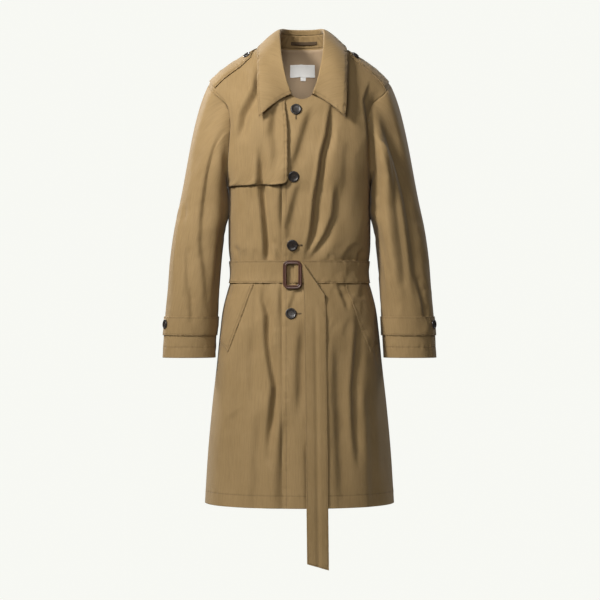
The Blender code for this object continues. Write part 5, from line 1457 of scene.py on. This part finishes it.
def pocket_welt(word, hand):
    """One welt, from its top under the belt down to its sloping end."""
    down = spread(WELT_LONG, STEP, (WELT_LONG, 0.1685, 0.1635)) / WELT_LONG
    over = spread(WELT_WIDE, 0.004, (0, 0.0015, 0.0065, 0.0385)) / WELT_WIDE
    down, over = down[:, None, None], over[None, :, None]
    inner = WELT[0] + (WELT[1] - WELT[0]) * down
    outer = WELT[3] + (WELT[2] - WELT[3]) * down
    place = inner + (outer - inner) * over
    across = hand * across_at(-1, place[..., 0], place[..., 1])
    cloth(overlay(f"pocket_welt_{word}_cloth", -1, across, level(place[..., 1]), GAP + WELT_OFF,
                  WELT_WALL, lines_along("left high", FIRST_STITCH, SECOND_STITCH)),
          f"pocket_welt_{word}")


for hand, word in HANDS:
    pocket_welt(word, hand)

# ---- The buttons and buttonholes ----------------------------------------------------
# Turned buttons of dark horn with a rolled rim and four holes, sewn on with brown thread:
# four down the front, one on each epaulette and one on each cuff strap. The buttonholes
# are cut slits, closely worked round with thread.
BUTTON_HEIGHT = 0.0040
BUTTON_PROFILE = ((0.0, 0.0), (0.55, 0.0), (0.80, 0.02), (0.93, 0.16), (1.0, 0.38), (1.0, 0.66),
                  (0.96, 0.86), (0.89, 0.98), (0.82, 1.0), (0.75, 0.96), (0.69, 0.86),
                  (0.63, 0.76), (0.50, 0.70), (0.25, 0.67), (0.0, 0.66))
HOLE_RADIUS, HOLE_OFF, DRILL_LENGTH = 0.00085, 0.0019, 0.02
BUTTON_SIDES, HOLE_SIDES = 48, 16
BUTTON_RADII = {"front": 0.0130, "cuff": 0.0110, "shoulder": 0.0100}
FRONT_BUTTONS = 4
THREAD_RISE = 0.68       # share of the button's height at which the thread lies in its hollow
THREAD_REACH, THREAD_PITCH, THREAD_LENGTH = 1.25, 2.4, 2.6   # in shares of HOLE_OFF
SHANK, SHANK_TOP = 0.0012, 0.0004        # how far it goes down to the cloth, and into the button
SLIT_LENGTH, CUFF_SLIT, SLIT_HALF = 0.0225, 0.016, 0.0011
SLIT_PITCH, SLIT_STITCH, SLIT_EYE = 0.00065, 0.0009, (0.0004, 0.0021)
SLIT_RAYS, SLIT_SEW, SLIT_SINK = 11, (0.0016, 0.0018), 0.0001
BUTTON_THREAD, SLIT_THREAD = 0.00032, 0.00026   # half the thickness of the two threads
HOLE_APART, SHANK_APART = 0.0003, 0.0006        # how far two threads lie from the middle
FIRST_SPIN, NEXT_SPIN, SHOULDER_SPIN, CUFF_SPIN = 0.5, 1.3, 0.3, 0.9   # turns of the buttons


def horn(name):
    """Dark horn with paler streaks in its depth and a soft polish."""
    made, tree, shader = shade(name, 0.36)
    place = node(tree, "TexCoord", {}, "Object")
    drawn = node(tree, "Mapping", {"Vector": place, "Scale": (60.0, 260.0, 60.0)})
    streaks = node(tree, "TexNoise", {"Vector": drawn, "Scale": 1.6, "Detail": 4.0,
                                      "Distortion": 1.6})
    veins = ranged(tree, streaks, start=0.46, end=0.74)
    connect(tree, shader, {
        "Base Color": mixed(tree, veins, (0.010, 0.008, 0.007), (0.052, 0.036, 0.027)),
        "Roughness": ranged(tree, streaks, 0.30, 0.46),
        "Normal": bumped(tree, 0.12, 0.0003, streaks)})
    return made


HORN = horn("dark_horn")
BROWN_THREAD = thread_finish("brown_thread", (0.060, 0.038, 0.022))


def button_blank(name, radius):
    """A turned button in its own axes, with four holes bored through it."""
    points, quads = [], []
    for share, rise in BUTTON_PROFILE[1:-1]:
        for step in range(BUTTON_SIDES):
            angle = 2 * math.pi * step / BUTTON_SIDES
            points.append((radius * share * math.cos(angle), radius * share * math.sin(angle),
                           rise * BUTTON_HEIGHT))
    for row in range(len(BUTTON_PROFILE) - 3):
        for step in range(BUTTON_SIDES):
            after = (step + 1) % BUTTON_SIDES
            low, high = row * BUTTON_SIDES, (row + 1) * BUTTON_SIDES
            quads.append((low + step, low + after, high + after, high + step))
    last = (len(BUTTON_PROFILE) - 3) * BUTTON_SIDES
    quads.append(tuple(range(BUTTON_SIDES))[::-1])
    quads.append(tuple(range(last, last + BUTTON_SIDES)))
    mesh = bpy.data.meshes.new(name)
    mesh.from_pydata(points, [], quads)
    blank = bpy.data.objects.new(name, mesh)
    bpy.context.scene.collection.objects.link(blank)
    for x, y in ((1, 1), (1, -1), (-1, 1), (-1, -1)):
        bpy.ops.mesh.primitive_cylinder_add(vertices=HOLE_SIDES, radius=HOLE_RADIUS,
                                            depth=DRILL_LENGTH,
                                            location=(x * HOLE_OFF, y * HOLE_OFF, 0))
        drill = bpy.context.object
        bore = blank.modifiers.new("bore", "BOOLEAN")
        bore.operation, bore.object = "DIFFERENCE", drill
        bpy.context.view_layer.update()
        bored = bpy.data.meshes.new_from_object(blank.evaluated_get(
            bpy.context.evaluated_depsgraph_get()))
        blank.modifiers.clear()
        blank.data = bored
        bpy.data.objects.remove(drill)
    bored = blank.data
    bpy.data.objects.remove(blank)
    bored.materials.clear()
    bored.materials.append(HORN)
    bored.shade_smooth()
    bored.set_sharp_from_angle(angle=math.radians(40))
    return bored


def one_stitch(start, end, out):
    """A straight run for one stitch between two places, with its direction off the cloth."""
    return np.array([[*start, *out], [*end, *out]]), 0.0


def sewn_button(name, blank, spin):
    """A button on its place, with two runs of thread through its holes."""
    points, middle, out = axes_of(name)
    base = middle + out * ((points - middle) @ out).min()
    right = unit(np.cross([0.0, 0.0, 1.0], out))
    right = right if np.linalg.norm(right) > 0.5 else np.array([1.0, 0.0, 0.0])
    other = np.cross(out, right)
    axes = Matrix.Identity(4)
    first = right * math.cos(spin) + other * math.sin(spin)
    second = np.cross(out, first)
    for row in range(3):
        axes[row] = (first[row], second[row], out[row], base[row])
    piece = bpy.data.objects.new(name + "_horn", blank)
    piece.matrix_world = axes
    bpy.context.scene.collection.objects.link(piece)
    fit(piece, "horn", name)
    top = base + out * BUTTON_HEIGHT * THREAD_RISE
    runs = []
    for sign in (-1, 1):
        for extra in (-HOLE_APART, HOLE_APART):
            ends = [top + first * sign * HOLE_OFF + first * extra
                    + second * end * HOLE_OFF * THREAD_REACH for end in (-1, 1)]
            runs.append(one_stitch(*ends, out))
    shank = base - out * SHANK
    for extra in (-SHANK_APART, SHANK_APART):
        runs.append(one_stitch(shank + first * extra,
                               base + first * extra + out * SHANK_TOP, first))
    threads = sew(name + "_thread", runs, BROWN_THREAD, pitch=HOLE_OFF * THREAD_PITCH,
                  length=HOLE_OFF * THREAD_LENGTH, thick=BUTTON_THREAD)
    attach(threads, "root")
    return base, out


def buttonhole(name, start, way, side, out, length):
    """A slit worked round with close stitches, from beside the button outwards."""
    runs = []
    for sign in (-1, 1):
        for step in np.arange(0, length, SLIT_PITCH):
            middle = start + way * step + side * sign * SLIT_HALF
            runs.append(one_stitch(middle - side * sign * SLIT_STITCH,
                                   middle + side * sign * SLIT_STITCH, out))
    for angle in np.linspace(-math.pi / 2, math.pi / 2, SLIT_RAYS):
        ray = way * math.cos(angle) + side * math.sin(angle)
        middle = start + way * length
        runs.append(one_stitch(middle + ray * SLIT_EYE[0], middle + ray * SLIT_EYE[1], out))
    worked = sew(name, runs, BROWN_THREAD, pitch=SLIT_SEW[0], length=SLIT_SEW[1],
                 thick=SLIT_THREAD)
    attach(worked, "root")


blanks = {size: button_blank(f"button_blank_{size}", radius)
          for size, radius in BUTTON_RADII.items()}
for index in range(FRONT_BUTTONS):
    base, out = sewn_button(f"front_button_{index + 1}", blanks["front"],
                            FIRST_SPIN + NEXT_SPIN * index)
    # The top buttonhole hangs down under the collar, and the others lie level.
    way = np.array([1.0, 0.0, 0.0]) if index else np.array([0.0, 0.0, -1.0])
    way = unit(way - out * (way @ out))
    buttonhole(f"front_buttonhole_{index + 1}", base - out * SLIT_SINK, way,
               np.cross(out, way), out, SLIT_LENGTH)
for hand, word in HANDS:
    sewn_button(f"epaulette_button_{word}", blanks["shoulder"], SHOULDER_SPIN)
    base, out = sewn_button(f"cuff_button_{word}", blanks["cuff"], CUFF_SPIN)
    way = unit(np.cross([0.0, 0.0, 1.0], out)) * hand
    buttonhole(f"cuff_buttonhole_{word}", base - out * SLIT_SINK, way, np.cross(way, out),
               out, CUFF_SLIT)
